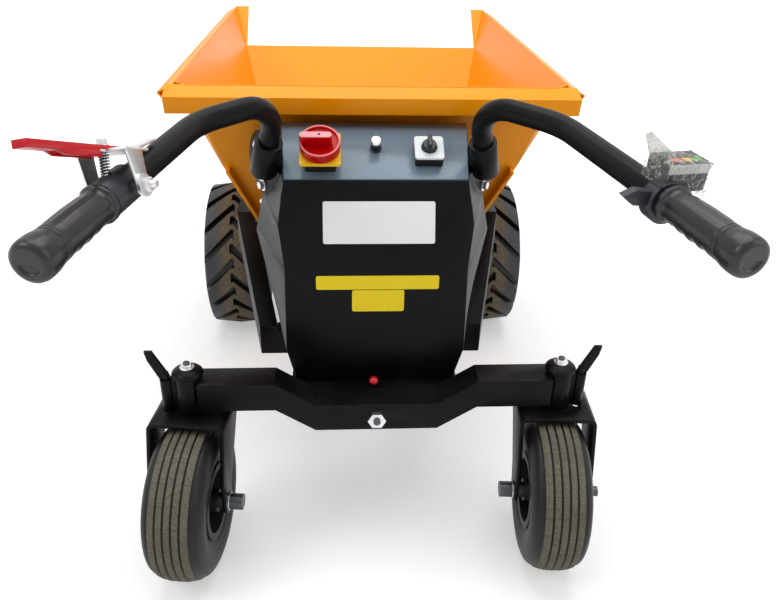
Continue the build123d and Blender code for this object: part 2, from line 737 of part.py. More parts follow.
ribbed = list(CASTER_WALL) + [(CASTER_TREAD, crown_radius(CASTER_TREAD))]
for index in range(1, (CASTER_RIBS + 1) // 2):
    groove_x = CASTER_TREAD - index * rib_pitch
    for across, depth in ((RIB_GROOVE_W / 2, 0), (0, RIB_GROOVE_H), (-RIB_GROOVE_W / 2, 0)):
        ribbed.append((groove_x + across, crown_radius(groove_x) - depth))
export_casters(
    faceted_tyre(swivel_x, caster_y, caster_z, CASTER_SIDES, tuple(ribbed), CASTER_BEAD,
                 CASTER_RIM_R + RUN),
    "caster_tyre",
)
export_casters(
    steel_rim(swivel_x, caster_y, caster_z, CASTER_RIM_R, CASTER_RIM_W, CASTER_HUB_D,
              -CASTER_HUB_W / 2, CASTER_HUB_W / 2, CASTER_AXLE_D, 2.0),
    "caster_rim",
)

# ---------------------------------------------------------------- tub
rear_lean = radians(TUB_REAR_SLOPE)
front_lean = radians(TUB_FRONT_SLOPE)
side_lean = atan2(TUB_RIM_HALF_W - TUB_FLOOR_HALF_W, TUB_RIM_Z - TUB_FLOOR_Z)
tub_h = TUB_RIM_Z - TUB_FLOOR_Z
rim_rear_y = TUB_FLOOR_REAR_Y - tub_h * tan(rear_lean)
rim_front_y = TUB_FLOOR_FRONT_Y + tub_h * tan(front_lean)


def tub_half_w(z):
    """Inner half width of the tub at this height."""
    return TUB_FLOOR_HALF_W + (z - TUB_FLOOR_Z) * tan(side_lean)


def tub_rear_y(z):
    """Inner face of the rear wall at this height."""
    return TUB_FLOOR_REAR_Y - (z - TUB_FLOOR_Z) * tan(rear_lean)


def tub_block(grow):
    """The tub's space as one convex block, its walls moved outward by grow."""
    top_z = TUB_RIM_Z + (0 if grow else 1)
    middle = (0, (rim_rear_y + rim_front_y) / 2, (TUB_FLOOR_Z - grow + top_z) / 2)
    walls = [
        # a point on the wall's inner face, and the wall's outward direction
        ((0, TUB_FLOOR_REAR_Y, TUB_FLOOR_Z), (0, -cos(rear_lean), -sin(rear_lean))),
        ((0, TUB_FLOOR_FRONT_Y, TUB_FLOOR_Z), (0, cos(front_lean), -sin(front_lean))),
    ]
    foot = Vector(tub_half_w(FACET_FOOT_Z), tub_rear_y(FACET_FOOT_Z), FACET_FOOT_Z)
    rim_back = Vector(TUB_RIM_HALF_W - FACET_RIM, rim_rear_y, TUB_RIM_Z)
    rim_side = Vector(TUB_RIM_HALF_W, rim_rear_y + FACET_RIM, TUB_RIM_Z)
    facet = (rim_back - foot).cross(rim_side - foot).normalized()
    if facet.X < 0:
        facet = -facet
    for side in (-1, 1):
        walls.append(((side * TUB_FLOOR_HALF_W, 0, TUB_FLOOR_Z), (side * cos(side_lean), 0, -sin(side_lean))))
        walls.append(((side * foot.X, foot.Y, foot.Z), (side * facet.X, facet.Y, facet.Z)))
    with BuildPart() as block:
        with Locations(middle):
            Box(4 * TUB_RIM_HALF_W, 2 * (rim_front_y - rim_rear_y), top_z - TUB_FLOOR_Z + grow)
        for point, outward in walls:
            face = Plane(origin=Vector(*point) + Vector(*outward) * grow, z_dir=outward)
            split(bisect_by=face, keep=Keep.BOTTOM)
    return block.part


def rim_profile(sizes, out_sign=1.0):
    """Fold points of a rim, from the wall's inner top edge: outward and up."""
    flange_out, flange_drop, lip_in, lip_drop = sizes
    points = ((0, 0), (flange_out, -flange_drop), (flange_out - lip_in, -flange_drop - lip_drop))
    return [(out_sign * out, up) for out, up in points]


with BuildPart() as tub:
    add(tub_block(SHEET))
    add(tub_block(0), mode=Mode.SUBTRACT)
    # the front wall stops lower than the sides
    spout_y = TUB_FLOOR_FRONT_Y + (TUB_SPOUT_Z - TUB_FLOOR_Z) * tan(front_lean)
    with BuildSketch(side_plane(-tub_half_w(TUB_SPOUT_Z) + SHEET)):
        with BuildLine():
            Polyline(
                (spout_y - 40, TUB_SPOUT_Z),
                (spout_y + 60, TUB_SPOUT_Z),
                (rim_front_y + 120, TUB_RIM_Z + 10),
                (rim_front_y - 60, TUB_RIM_Z + 10),
                close=True,
            )
        make_face()
    extrude(amount=2 * tub_half_w(TUB_SPOUT_Z) - 2 * SHEET, mode=Mode.SUBTRACT)
    # folded rim: flange and lip along the rear edge and both sides
    with BuildSketch(side_plane(-TUB_RIM_HALF_W - REAR_RIM_PAST)):
        with BuildLine():
            folds = [(rim_rear_y + out, TUB_RIM_Z + up) for out, up in rim_profile(REAR_RIM, -1)]
            Polyline(*folded_sheet(folds, SHEET), close=True)
        make_face()
    extrude(amount=2 * (TUB_RIM_HALF_W + REAR_RIM_PAST))
    for side in (-1, 1):
        with BuildSketch(back_plane(rim_rear_y)):
            with BuildLine():
                folds = [(side * TUB_RIM_HALF_W + out, TUB_RIM_Z + up) for out, up in rim_profile(SIDE_RIM, side)]
                Polyline(*folded_sheet(folds, -side * SHEET), close=True)
            make_face()
        extrude(amount=-(rim_front_y - rim_rear_y))
    # stiffening bars along the rear lower corners
    for side in (-1, 1):
        z_top, z_low = FACET_FOOT_Z - 15, TUB_FLOOR_Z + 20
        top = Vector(side * (tub_half_w(z_top) - 8), tub_rear_y(z_top), z_top)
        low = Vector(side * (tub_half_w(z_low) - 8), tub_rear_y(z_low), z_low)
        outward = Vector(0, -cos(rear_lean), -sin(rear_lean))
        with BuildSketch(Plane(origin=top + outward * (SHEET + 8), x_dir=outward, z_dir=low - top)):
            Rectangle(20, 8)
        extrude(amount=(low - top).length)
export(tub, "tub")

# hinge frame under the tub: two cheek plates on a tube that turns on the pin
cheek_x = TUB_FLOOR_HALF_W - 30


def tub_front_under_z(y):
    """Underside of the front wall at this y."""
    return TUB_FLOOR_Z + (y - TUB_FLOOR_FRONT_Y) / tan(front_lean) - SHEET / sin(front_lean)


floor_under_z = TUB_FLOOR_Z - SHEET
ear_in = ACT_EYE_D / 2 + ACT_GAP
corner_y = TUB_FLOOR_FRONT_Y + SHEET * (1 / cos(front_lean) - tan(front_lean))
cheek_top_y = HINGE_Y + 40
with BuildPart() as hinge_frame:
    for side in (-1, 1):
        with BuildSketch(side_plane(side * cheek_x - PLATE_T / 2)):
            with BuildLine():
                Polyline(
                    (TUB_FLOOR_FRONT_Y - 160, floor_under_z),
                    (corner_y, floor_under_z),
                    (cheek_top_y, tub_front_under_z(cheek_top_y)),
                    (HINGE_Y + 26, HINGE_Z + 20),
                    (HINGE_Y + 20, HINGE_Z - 16),
                    (HINGE_Y - 12, HINGE_Z - 26),
                    (TUB_FLOOR_FRONT_Y - 120, floor_under_z - 22),
                    (TUB_FLOOR_FRONT_Y - 160, floor_under_z - 22),
                    close=True,
                )
            make_face()
        extrude(amount=PLATE_T)
    with BuildSketch(side_plane(-HINGE_TUBE_L / 2)):
        with Locations((HINGE_Y, HINGE_Z)):
            Circle(HINGE_TUBE_D / 2)
    extrude(amount=HINGE_TUBE_L)
    with BuildSketch(side_plane(-HINGE_TUBE_L / 2)):
        with Locations((HINGE_Y, HINGE_Z)):
            Circle(HINGE_PIN_D / 2 + RUN)
    extrude(amount=HINGE_TUBE_L, mode=Mode.SUBTRACT)
    # ears either side of the actuator's rod eye, on strips out to the cheek plates
    for side in (-1, 1):
        with Locations((side * (ear_in + cheek_x) / 2, ACT_EYE[0], floor_under_z - WALL / 2)):
            Box(cheek_x - ear_in, 60, WALL)
        with BuildSketch(side_plane(side * (ear_in + ACT_EAR_T / 2) - ACT_EAR_T / 2)):
            with BuildLine():
                Polyline(
                    (ACT_EYE[0] - 30, floor_under_z),
                    (ACT_EYE[0] + 30, floor_under_z),
                    (ACT_EYE[0] + 14, ACT_EYE[1] - 14),
                    (ACT_EYE[0] - 14, ACT_EYE[1] - 14),
                    close=True,
                )
            make_face()
            with Locations(ACT_EYE):
                Circle(ACT_PIN_D / 2, mode=Mode.SUBTRACT)
        extrude(amount=ACT_EAR_T)
export(hinge_frame, "tub_hinge_frame")

# ---------------------------------------------------------------- tub actuator
run_y = ACT_EYE[0] - ACT_BASE[0]
run_z = ACT_EYE[1] - ACT_BASE[1]
act_length = hypot(run_y, run_z)
act_dir = Vector(0, run_y / act_length, run_z / act_length)


def act_plane(along):
    """Plane across the actuator at this distance from its base pin."""
    return Plane(origin=Vector(0, *ACT_BASE) + act_dir * along, x_dir=(1, 0, 0), z_dir=act_dir)


barrel_start = 38.0
barrel_l = act_length - barrel_start - 48
with BuildPart() as barrel:
    with BuildSketch(act_plane(barrel_start)):
        Circle(ACT_BARREL_D / 2)
    extrude(amount=barrel_l)
    # motor gearbox below the barrel
    with BuildSketch(act_plane(barrel_start + 4)):
        with Locations((0, ACT_BARREL_D * 0.7)):
            RectangleRounded(ACT_BARREL_D * 0.9, ACT_BARREL_D * 0.9, 10)
    extrude(amount=110)
    # eye at the base
    with BuildSketch(side_plane(-ACT_EYE_D / 2)):
        with Locations(ACT_BASE):
            Circle(ACT_EYE_D / 2)
    extrude(amount=ACT_EYE_D)
    with BuildSketch(act_plane(0)):
        Rectangle(ACT_EYE_D, ACT_EYE_D * 0.7)
    extrude(amount=barrel_start + 2)
    with BuildSketch(act_plane(60)):
        Circle(ACT_ROD_D / 2 + RUN)
    extrude(amount=barrel_l, mode=Mode.SUBTRACT)
    with BuildSketch(side_plane(-ACT_EYE_D)):
        with Locations(ACT_BASE):
            Circle(ACT_PIN_D / 2 + RUN)
    extrude(amount=2 * ACT_EYE_D, mode=Mode.SUBTRACT)
export(barrel, "actuator_barrel")

with BuildPart() as rod:
    with BuildSketch(act_plane(66)):
        Circle(ACT_ROD_D / 2)
    extrude(amount=act_length - 66 - 4)
    with BuildSketch(side_plane(-ACT_EYE_D / 2)):
        with Locations(ACT_EYE):
            Circle(ACT_EYE_D / 2 - 2)
    extrude(amount=ACT_EYE_D)
    with BuildSketch(side_plane(-ACT_EYE_D / 2)):
        with Locations(ACT_EYE):
            Circle(ACT_PIN_D / 2)
    extrude(amount=ACT_EYE_D, mode=Mode.SUBTRACT)
export(rod, "actuator_rod")

with BuildPart() as act_base:
    # bracket and pin on a cross plate below the base rails
    with Locations((0, ACT_BASE[0], RAIL_Z + PLATE_T / 2)):
        Box(2 * RAIL_IN, 70, PLATE_T)
    for side in (-1, 1):
        with BuildSketch(side_plane(side * (ear_in + ACT_EAR_T / 2) - ACT_EAR_T / 2)):
            with BuildLine():
                Polyline(
                    (ACT_BASE[0] - 24, RAIL_Z),
                    (ACT_BASE[0] + 18, RAIL_Z),
                    (ACT_BASE[0] + 14, ACT_BASE[1] - 14),
                    (ACT_BASE[0] - 14, ACT_BASE[1] - 14),
                    close=True,
                )
            make_face()
        extrude(amount=ACT_EAR_T)
    with BuildSketch(side_plane(-ear_in - ACT_EAR_T)):
        with Locations(ACT_BASE):
            Circle(ACT_PIN_D / 2)
    extrude(amount=2 * (ear_in + ACT_EAR_T))
    # the barrel passes through the plate
    with Locations((0, ACT_BASE[0] + 30, RAIL_Z + PLATE_T / 2)):
        Box(2 * (ACT_BARREL_D / 2 + 8), 70, PLATE_T, mode=Mode.SUBTRACT)
export(act_base, "actuator_bracket")

# ---------------------------------------------------------------- handles
foot, top_bend, second_bend, end = (Vector(*point) for point in HANDLE_PATH)
grip_dir = (end - second_bend).normalized()
grip_start = end - grip_dir * GRIP_L
foot_dir = (top_bend - foot).normalized()

with BuildPart() as handlebar:
    with BuildLine() as handle_line:
        FilletPolyline(foot, top_bend, second_bend, end - grip_dir * 5, radius=HANDLE_BENDS)
    with BuildSketch(Plane(origin=foot, z_dir=foot_dir)):
        Circle(TUBE_D / 2)
    sweep(path=handle_line.wires()[0])
export_pair(handlebar, "handlebar")

grip_plane = Plane(origin=grip_start, x_dir=grip_dir, z_dir=grip_dir.cross(Vector(0, 0, 1)))
with BuildPart() as grip:
    with BuildSketch(grip_plane):
        with BuildLine():
            Polyline(
                (0, TUBE_D / 2),
                (0, GRIP_D / 2 + 1),
                (9, GRIP_D / 2 + 1),
                (16, GRIP_D / 2 - 2),
                (GRIP_L - 42, GRIP_D / 2 - 1),
                (GRIP_L - 28, GRIP_END_D / 2),
                (GRIP_L - 8, GRIP_END_D / 2),
                (GRIP_L, GRIP_END_D / 2 - 9),
                (GRIP_L, 0),
                (GRIP_L - 5, 0),
                (GRIP_L - 5, TUBE_D / 2),
                close=True,
            )
        make_face()
    revolve(axis=Axis(grip_start, grip_dir))
export_pair(grip, "grip")

rosette_out = Vector(cos(radians(ROSETTE_TURN)), -sin(radians(ROSETTE_TURN)), 0)
rosette_plane = Plane(origin=ROSETTE_AT, x_dir=(0, 0, 1), z_dir=rosette_out)
socket_middle = foot + foot_dir * (SOCKET_L / 2)
saddle_at = rosette_plane.to_local_coords(socket_middle)
with BuildPart() as socket:
    with BuildSketch(Plane(origin=foot - foot_dir * 6, z_dir=foot_dir)):
        Circle(SOCKET_D / 2)
    extrude(amount=SOCKET_L)
    # rosette, with a saddle out to the socket and a boss in to the console's side
    with BuildSketch(rosette_plane):
        Circle(ROSETTE_D / 2)
    extrude(amount=-ROSETTE_T)
    with BuildSketch(rosette_plane):
        with Locations((saddle_at.X, saddle_at.Y)):
            Rectangle(SOCKET_L * 0.6, SOCKET_D * 0.6)
    extrude(amount=saddle_at.Z)
    with BuildSketch(rosette_plane):
        Circle(ROSETTE_D / 4)
    extrude(amount=-SOCKET_D)
    with BuildSketch(Plane(origin=foot, z_dir=foot_dir)):
        Circle(TUBE_D / 2)
    extrude(amount=2 * SOCKET_L, mode=Mode.SUBTRACT)
    add(console_block(0), mode=Mode.SUBTRACT)
export_pair(socket, "handle_socket")

# ---------------------------------------------------------------- brake lever, left handle only
def control_axes(side, roll):
    """Directions on the left (-1) or right (1) handle, rolled outward: along it, out across it, and up."""
    along = Vector(side * grip_dir.X, grip_dir.Y, grip_dir.Z)
    level_up = (Vector(0, 0, 1) - along * along.Z).normalized()
    level_out = Vector(side * -along.Y, side * along.X, 0).normalized()
    roll = radians(roll)
    return along, level_out * cos(roll) - level_up * sin(roll), level_up * cos(roll) + level_out * sin(roll)


left_along, left_out, left_up = control_axes(-1, LEVER_ROLL)
lever_pivot = Vector(-grip_start.X, grip_start.Y, grip_start.Z) - left_along * LEVER_PIVOT_BACK


def lever_plane(out):
    """Plane along the left handle, this far outward: local x runs to the handle's end, local y up."""
    return Plane(origin=lever_pivot + left_out * out, x_dir=left_along, z_dir=left_along.cross(left_up))


lever_side = 1 if lever_plane(0).z_dir.dot(left_out) > 0 else -1
arm_end, lever_bend, lever_tip = LEVER_LINE
lever_slope = (lever_tip[1] - lever_bend[1]) / (lever_tip[0] - lever_bend[0])


def lever_up(along):
    """Height of the lever's line above the handle's axis, behind the bend."""
    return lever_bend[1] + (along - lever_bend[0]) * lever_slope


steel_end = (14.0, lever_up(14.0))
with BuildPart() as brake_lever:
    for half_w, folds in (
        (LEVER_ARM_W / 2, (arm_end, lever_bend, steel_end)),
        (LEVER_HALF_W, (lever_bend, (6.0, lever_up(6.0)))),
    ):
        with BuildSketch(lever_plane(-lever_side * half_w)):
            with BuildLine():
                Polyline(*folded_sheet(folds, -LEVER_T), close=True)
            make_face()
        extrude(amount=2 * half_w)
    for out in (-LEVER_HALF_W, LEVER_HALF_W - LEVER_T):
        with BuildSketch(lever_plane(out if lever_side > 0 else out + LEVER_T)):
            with BuildLine():
                Polyline(
                    (-LEVER_LEG_W / 2 - 10, lever_up(-LEVER_LEG_W / 2 - 10) - 2),
                    (6, lever_up(6.0) - 2),
                    (LEVER_LEG_W / 2 - 2, 0),
                    (-LEVER_LEG_W / 2 + 2, 0),
                    close=True,
                )
            make_face()
            Circle(LEVER_LEG_W / 2 - 2)
        extrude(amount=LEVER_T)
export(brake_lever, "brake_lever")

with BuildPart() as lever_grip:
    # dipped bar over the lever's line
    for half_w, folds, thickness in (
        (LEVER_ARM_W / 2 + 1, ((LEVER_RED_START, lever_up(LEVER_RED_START)), lever_tip), 5.0),
        (LEVER_ARM_W / 2 + 1, ((16.0, lever_up(16.0)), lever_tip), -5.0),
    ):
        with BuildSketch(lever_plane(-lever_side * half_w)):
            with BuildLine():
                Polyline(*folded_sheet(folds, thickness), close=True)
            make_face()
        extrude(amount=2 * half_w)
    # folded edges under it
    for out in (-LEVER_ARM_W / 2 - 1, LEVER_ARM_W / 2 - 3):
        with BuildSketch(lever_plane(out if lever_side > 0 else out + 4)):
            with BuildLine():
                Polyline(
                    (16, lever_up(16.0)),
                    (LEVER_CHEEK_END + 20, lever_up(LEVER_CHEEK_END + 20)),
                    (LEVER_CHEEK_END, lever_up(LEVER_CHEEK_END) - LEVER_CHEEK_H),
                    (16, lever_up(16.0) - LEVER_CHEEK_H),
                    close=True,
                )
            make_face()
        extrude(amount=4)
export(lever_grip, "brake_lever_grip")

with BuildPart() as lever_clamp:
    # collar on the tube, with a boss out to each leg
    with BuildSketch(Plane(origin=lever_pivot - left_along * 22, x_dir=left_out, z_dir=left_along)):
        Circle(TUBE_D / 2 + 6)
        Circle(TUBE_D / 2, mode=Mode.SUBTRACT)
    extrude(amount=LEVER_PIVOT_BACK + 22 - SEAT)
    for side in (-1, 1):
        with BuildSketch(Plane(origin=lever_pivot + left_out * side * TUBE_D / 2, z_dir=left_out * side)):
            Circle(LEVER_PIVOT_D / 2)
        extrude(amount=LEVER_HALF_W - LEVER_T - TUBE_D / 2)
    with BuildSketch(Plane(origin=lever_pivot - left_along * 22, x_dir=left_out, z_dir=left_along)):
        Circle(TUBE_D / 2)
    extrude(amount=LEVER_PIVOT_BACK + 22, mode=Mode.SUBTRACT)
export(lever_clamp, "brake_lever_clamp")

# ---------------------------------------------------------------- throttle, right handle only
right_along, right_out, right_up = control_axes(1, THROTTLE_ROLL)
clamp_at = grip_start - right_along * CLAMP_BACK


def throttle_plane(along):
    """Plane across the right handle: local x is outward and local y up."""
    return Plane(origin=clamp_at + right_along * along, x_dir=right_out, z_dir=right_out.cross(right_up))


toward_end = 1 if throttle_plane(0).z_dir.dot(right_along) > 0 else -1
box_in_x = BOX_AT[0] - BOX_SIZE[0] / 2
box_low_z = BOX_AT[1] - BOX_SIZE[1] / 2
with BuildPart() as throttle_clamp:
    with BuildSketch(throttle_plane(0)):
        with Locations((0, -4)):
            Circle(CLAMP_D / 2)
        # neck up to the box
        with Locations(((box_in_x + 10), box_low_z)):
            Rectangle(44, 30)
        Circle(TUBE_D / 2, mode=Mode.SUBTRACT)
    extrude(amount=toward_end * CLAMP_W)
export(throttle_clamp, "throttle_clamp")

with BuildPart() as throttle_box:
    with BuildSketch(throttle_plane(BOX_PAST - BOX_SIZE[2])):
        with Locations(BOX_AT):
            RectangleRounded(BOX_SIZE[0], BOX_SIZE[1], 4)
    extrude(amount=toward_end * BOX_SIZE[2])
    # cleared for the clamp, and for the tube it stands over
    with BuildSketch(throttle_plane(0)):
        with Locations((0, -4)):
            Circle(CLAMP_D / 2)
        with Locations(((box_in_x + 10), box_low_z)):
            Rectangle(44, 30)
    extrude(amount=toward_end * CLAMP_W, mode=Mode.SUBTRACT)
    with BuildSketch(throttle_plane(-BOX_SIZE[2])):
        Circle(TUBE_D / 2 + 3)
    extrude(amount=toward_end * 3 * BOX_SIZE[2], mode=Mode.SUBTRACT)
export(throttle_box, "throttle_box")

with BuildPart() as thumb_lever:
    with BuildSketch(throttle_plane(5)):
        with BuildLine():
            Polyline(
                (-CLAMP_D / 2 * 0.8, 12),
                (-CLAMP_D / 2 * 0.8, -8),
                (-CLAMP_D / 2 - 20, -6),
                (-CLAMP_D / 2 - 38, 8),
                (-CLAMP_D / 2 - 20, 16),
                close=True,
            )
        make_face()
        with Locations((0, -4)):
            Circle(CLAMP_D / 2, mode=Mode.SUBTRACT)
    extrude(amount=toward_end * 13)
export(thumb_lever, "throttle_thumb_lever")

# ---------------------------------------------------------------- controls
panel_top = Vector(0, CONSOLE[0][1], CONSOLE[0][0])
panel_low = Vector(0, CONSOLE[1][1], CONSOLE[1][0])
panel_out = (panel_top - panel_low).normalized().cross(Vector(-1, 0, 0))


def panel_plane(x, up, out=0.0):
    """Plane on the control panel: x across, up the slope from its lower edge, out from it."""
    slope = (panel_top - panel_low).normalized()
    return Plane(origin=panel_low + Vector(x, 0, 0) + slope * up + panel_out * out,
                 x_dir=(1, 0, 0), z_dir=panel_out)


ISOLATOR = (-104.0, 47.0)
KNOB_R = 37.5
KEY = (0.0, 74.0)
SWITCH = (99.0, 58.0)

with BuildPart() as isolator_base:
    with BuildSketch(panel_plane(*ISOLATOR)):
        RectangleRounded(58, 58, 4)
    extrude(amount=26)
    with BuildSketch(panel_plane(*ISOLATOR, 26)):
        RectangleRounded(76, 76, 4)
    extrude(amount=6)
export(isolator_base, "isolator_base")

with BuildPart() as isolator_knob:
    with BuildSketch(panel_plane(*ISOLATOR, 32)):
        Circle(KNOB_R)
    extrude(amount=22)
    # sunk face, with the bar that the hand turns standing out of it
    with BuildSketch(panel_plane(*ISOLATOR, 46)):
        Circle(KNOB_R - 4)
    extrude(amount=8, mode=Mode.SUBTRACT)
    with BuildSketch(panel_plane(*ISOLATOR, 46)):
        Rectangle(2 * KNOB_R - 9, 13)
    extrude(amount=24)
export(isolator_knob, "isolator_knob")

with BuildPart() as key_switch:
    with BuildSketch(panel_plane(*KEY)):
        Circle(10)
    extrude(amount=7)
    with BuildSketch(panel_plane(*KEY, 7)):
        Rectangle(4, 16)
    extrude(amount=20)
export(key_switch, "key_switch")

with BuildPart() as mode_switch:
    with BuildSketch(panel_plane(*SWITCH)):
        RectangleRounded(53, 53, 4)
    extrude(amount=20)
    with BuildSketch(panel_plane(*SWITCH, 20)):
        RectangleRounded(55, 55, 4)
    extrude(amount=4)
export(mode_switch, "mode_switch_base")

with BuildPart() as mode_knob:
    with BuildSketch(panel_plane(*SWITCH, 24)):
        Circle(15)
    extrude(amount=10)
    with BuildSketch(panel_plane(*SWITCH, 34)):
        SlotOverall(28, 8)
    extrude(amount=12)
export(mode_knob, "mode_switch_knob")
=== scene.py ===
"""Looks for the electric site dumper: materials for every CAD node, and the pieces too fine for the CAD.

Metres, +X the operator's right, +Y forward, +Z up. Positions come from the CAD nodes' boxes.
"""

import json
import math

import bmesh
import bpy
import numpy as np
from mathutils import Matrix, Vector


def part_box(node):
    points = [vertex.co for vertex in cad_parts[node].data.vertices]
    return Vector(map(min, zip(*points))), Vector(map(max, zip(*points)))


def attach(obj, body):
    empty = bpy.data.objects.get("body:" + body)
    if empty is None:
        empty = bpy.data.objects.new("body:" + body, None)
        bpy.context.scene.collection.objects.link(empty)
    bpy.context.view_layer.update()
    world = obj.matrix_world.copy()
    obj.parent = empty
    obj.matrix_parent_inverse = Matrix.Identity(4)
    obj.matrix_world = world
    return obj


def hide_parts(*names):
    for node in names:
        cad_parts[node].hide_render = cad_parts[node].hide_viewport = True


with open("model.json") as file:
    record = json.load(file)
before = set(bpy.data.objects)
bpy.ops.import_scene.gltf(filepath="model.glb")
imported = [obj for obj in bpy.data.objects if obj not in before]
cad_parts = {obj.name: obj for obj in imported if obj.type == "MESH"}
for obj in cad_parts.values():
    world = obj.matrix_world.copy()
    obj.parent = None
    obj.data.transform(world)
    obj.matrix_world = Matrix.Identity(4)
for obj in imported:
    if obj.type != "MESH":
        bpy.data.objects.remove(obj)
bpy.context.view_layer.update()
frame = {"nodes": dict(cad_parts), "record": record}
nodes = frame["nodes"]


def placed(name, data):
    """A new object of the scene that holds this data."""
    made = bpy.data.objects.new(name, data)
    bpy.context.scene.collection.objects.link(made)
    return made


# ---------------- camera
SENSOR_WIDTH = 36.0  # millimetres, as the lens below
LENS = SENSOR_WIDTH * 40 / 41
FAR_END = 60.0  # how far the camera sees, and the floor's size
CAMERA_AT = (-0.0655, -1.6435, 1.246)
CAMERA_TURN = -4.04  # degrees about Z
CAMERA_DIP = 28.55  # degrees below level
CAMERA_ROLL = 1.45  # degrees about its own axis


def set_camera():
    """Camera behind and above the handles: turned about Z, tilted down, then rolled about its own axis."""
    camera = placed("camera", bpy.data.cameras.new("camera"))
    camera.data.sensor_width = SENSOR_WIDTH
    camera.data.lens = LENS
    camera.data.clip_end = FAR_END
    turn = Matrix.Rotation(math.radians(CAMERA_TURN), 4, "Z")
    tilt = Matrix.Rotation(math.radians(90 - CAMERA_DIP), 4, "X")
    roll = Matrix.Rotation(math.radians(CAMERA_ROLL), 4, "Z")
    camera.matrix_world = Matrix.Translation(CAMERA_AT) @ turn @ tilt @ roll
    bpy.context.scene.camera = camera


set_camera()


# ---------------- shader expressions
def math_method(operation, swapped=False):
    """A method that adds one Math node, with the other value first where swapped."""

    def method(self, *others):
        values = [*others, self] if swapped else [self, *others]
        return self.shader.node("ShaderNodeMath", {"operation": operation}, values)[0]

    return method


class Val:
    """A node output that takes part in Python arithmetic. Each operator adds one Math node."""

    def __init__(self, shader, socket):
        self.shader = shader
        self.socket = socket

    __add__ = __radd__ = math_method("ADD")
    __sub__ = math_method("SUBTRACT")
    __rsub__ = math_method("SUBTRACT", swapped=True)
    __mul__ = __rmul__ = math_method("MULTIPLY")
    __pow__ = math_method("POWER")
    maximum = math_method("MAXIMUM")
    absolute = math_method("ABSOLUTE")
    fraction = math_method("FRACT")
    arctan2 = math_method("ARCTAN2")

    def clamp(self):
        return self.shader.node("ShaderNodeClamp", {}, [self, 0.0, 1.0])[0]

    def step(self, low, high):
        """0 below low, 1 above high, smooth between."""
        return self.shader.node(
            "ShaderNodeMapRange", {"interpolation_type": "SMOOTHSTEP"}, [self, low, high, 0.0, 1.0]
        )[0]


class Shader:
    """One material's node tree, built from expressions."""

    def __init__(self, name):
        self.material = bpy.data.materials.new(name)
        self.material.use_nodes = True
        self.tree = self.material.node_tree
        self.bsdf = self.tree.nodes["Principled BSDF"]
        self.output = self.tree.nodes["Material Output"]
        self._object = None

    def node(self, kind, settings=None, values=(), names=None):
        """Adds a node: its settings first, then its sockets' values or links. Returns its outputs."""
        made = self.tree.nodes.new(kind)
        for key, value in (settings or {}).items():
            setattr(made, key, value)
        pairs = names.items() if names else enumerate(values)
        for key, value in pairs:
            self.feed(made.inputs[key], value)
        return [Val(self, out) for out in made.outputs]

    def feed(self, socket, value):
        if isinstance(value, Val):
            self.tree.links.new(value.socket, socket)
        elif value is not None:
            socket.default_value = value

    def coords(self):
        """Object coordinates, in metres."""
        if self._object is None:
            self._object = self.node("ShaderNodeTexCoord")[3]
        return self._object

    def around(self, centre, turn=(0.0, 0.0, 0.0)):
        """Object coordinates moved so that centre is the origin."""
        moved = self.node(
            "ShaderNodeVectorMath", {"operation": "SUBTRACT"}, [self.coords(), tuple(centre)]
        )[0]
        settings = {"vector_type": "POINT"}
        return self.node("ShaderNodeMapping", settings, [moved, (0, 0, 0), turn, (1, 1, 1)])[0]

    def split(self, vector):
        return self.node("ShaderNodeSeparateXYZ", {}, [vector])

    def noise(self, scale, detail=3.0, rough=0.55, stretch=None, twist=0.0):
        """Noise from 0 to 1, scale in features for each metre."""
        where = self.coords()
        if stretch:
            where = self.node("ShaderNodeMapping", {}, [where, (0, 0, 0), (0, 0, 0), stretch])[0]
        sockets = {"Vector": where, "Scale": scale, "Detail": detail, "Roughness": rough, "Distortion": twist}
        return self.node("ShaderNodeTexNoise", {"noise_dimensions": "3D"}, names=sockets)[0]

    def mix(self, factor, first, second):
        """Colour first where factor is 0, and second where it is 1."""
        made = self.tree.nodes.new("ShaderNodeMix")
        made.data_type = "RGBA"
        self.feed(made.inputs[0], factor)
        for socket, colour in ((made.inputs[6], first), (made.inputs[7], second)):
            self.feed(socket, colour if isinstance(colour, Val) else (*colour[:3], 1.0))
        return Val(self, made.outputs[2])

    def bump(self, height, distance, strength):
        """A normal that follows a height, in shares of distance metres."""
        sockets = {"Strength": strength, "Distance": distance, "Height": height}
        return self.node("ShaderNodeBump", names=sockets)[0]

    def facing_up(self):
        """The surface normal's Z, from -1 to 1."""
        return self.split(self.node("ShaderNodeNewGeometry")[1])[2]

    def finish(self, **sockets):
        """Feeds the shader's sockets, by their names with spaces as underscores."""
        for key, value in sockets.items():
            name = key.replace("_", " ")
            if isinstance(value, (tuple, list)) and len(value) == 3:
                value = (*value, 1.0)
            self.feed(self.bsdf.inputs[name], value)
        return self.material


def srgb(code):
    """Linear colour of a web colour code."""
    parts = [int(code[i : i + 2], 16) / 255 for i in (0, 2, 4)]
    return tuple(c / 12.92 if c <= 0.04045 else ((c + 0.055) / 1.055) ** 2.4 for c in parts)


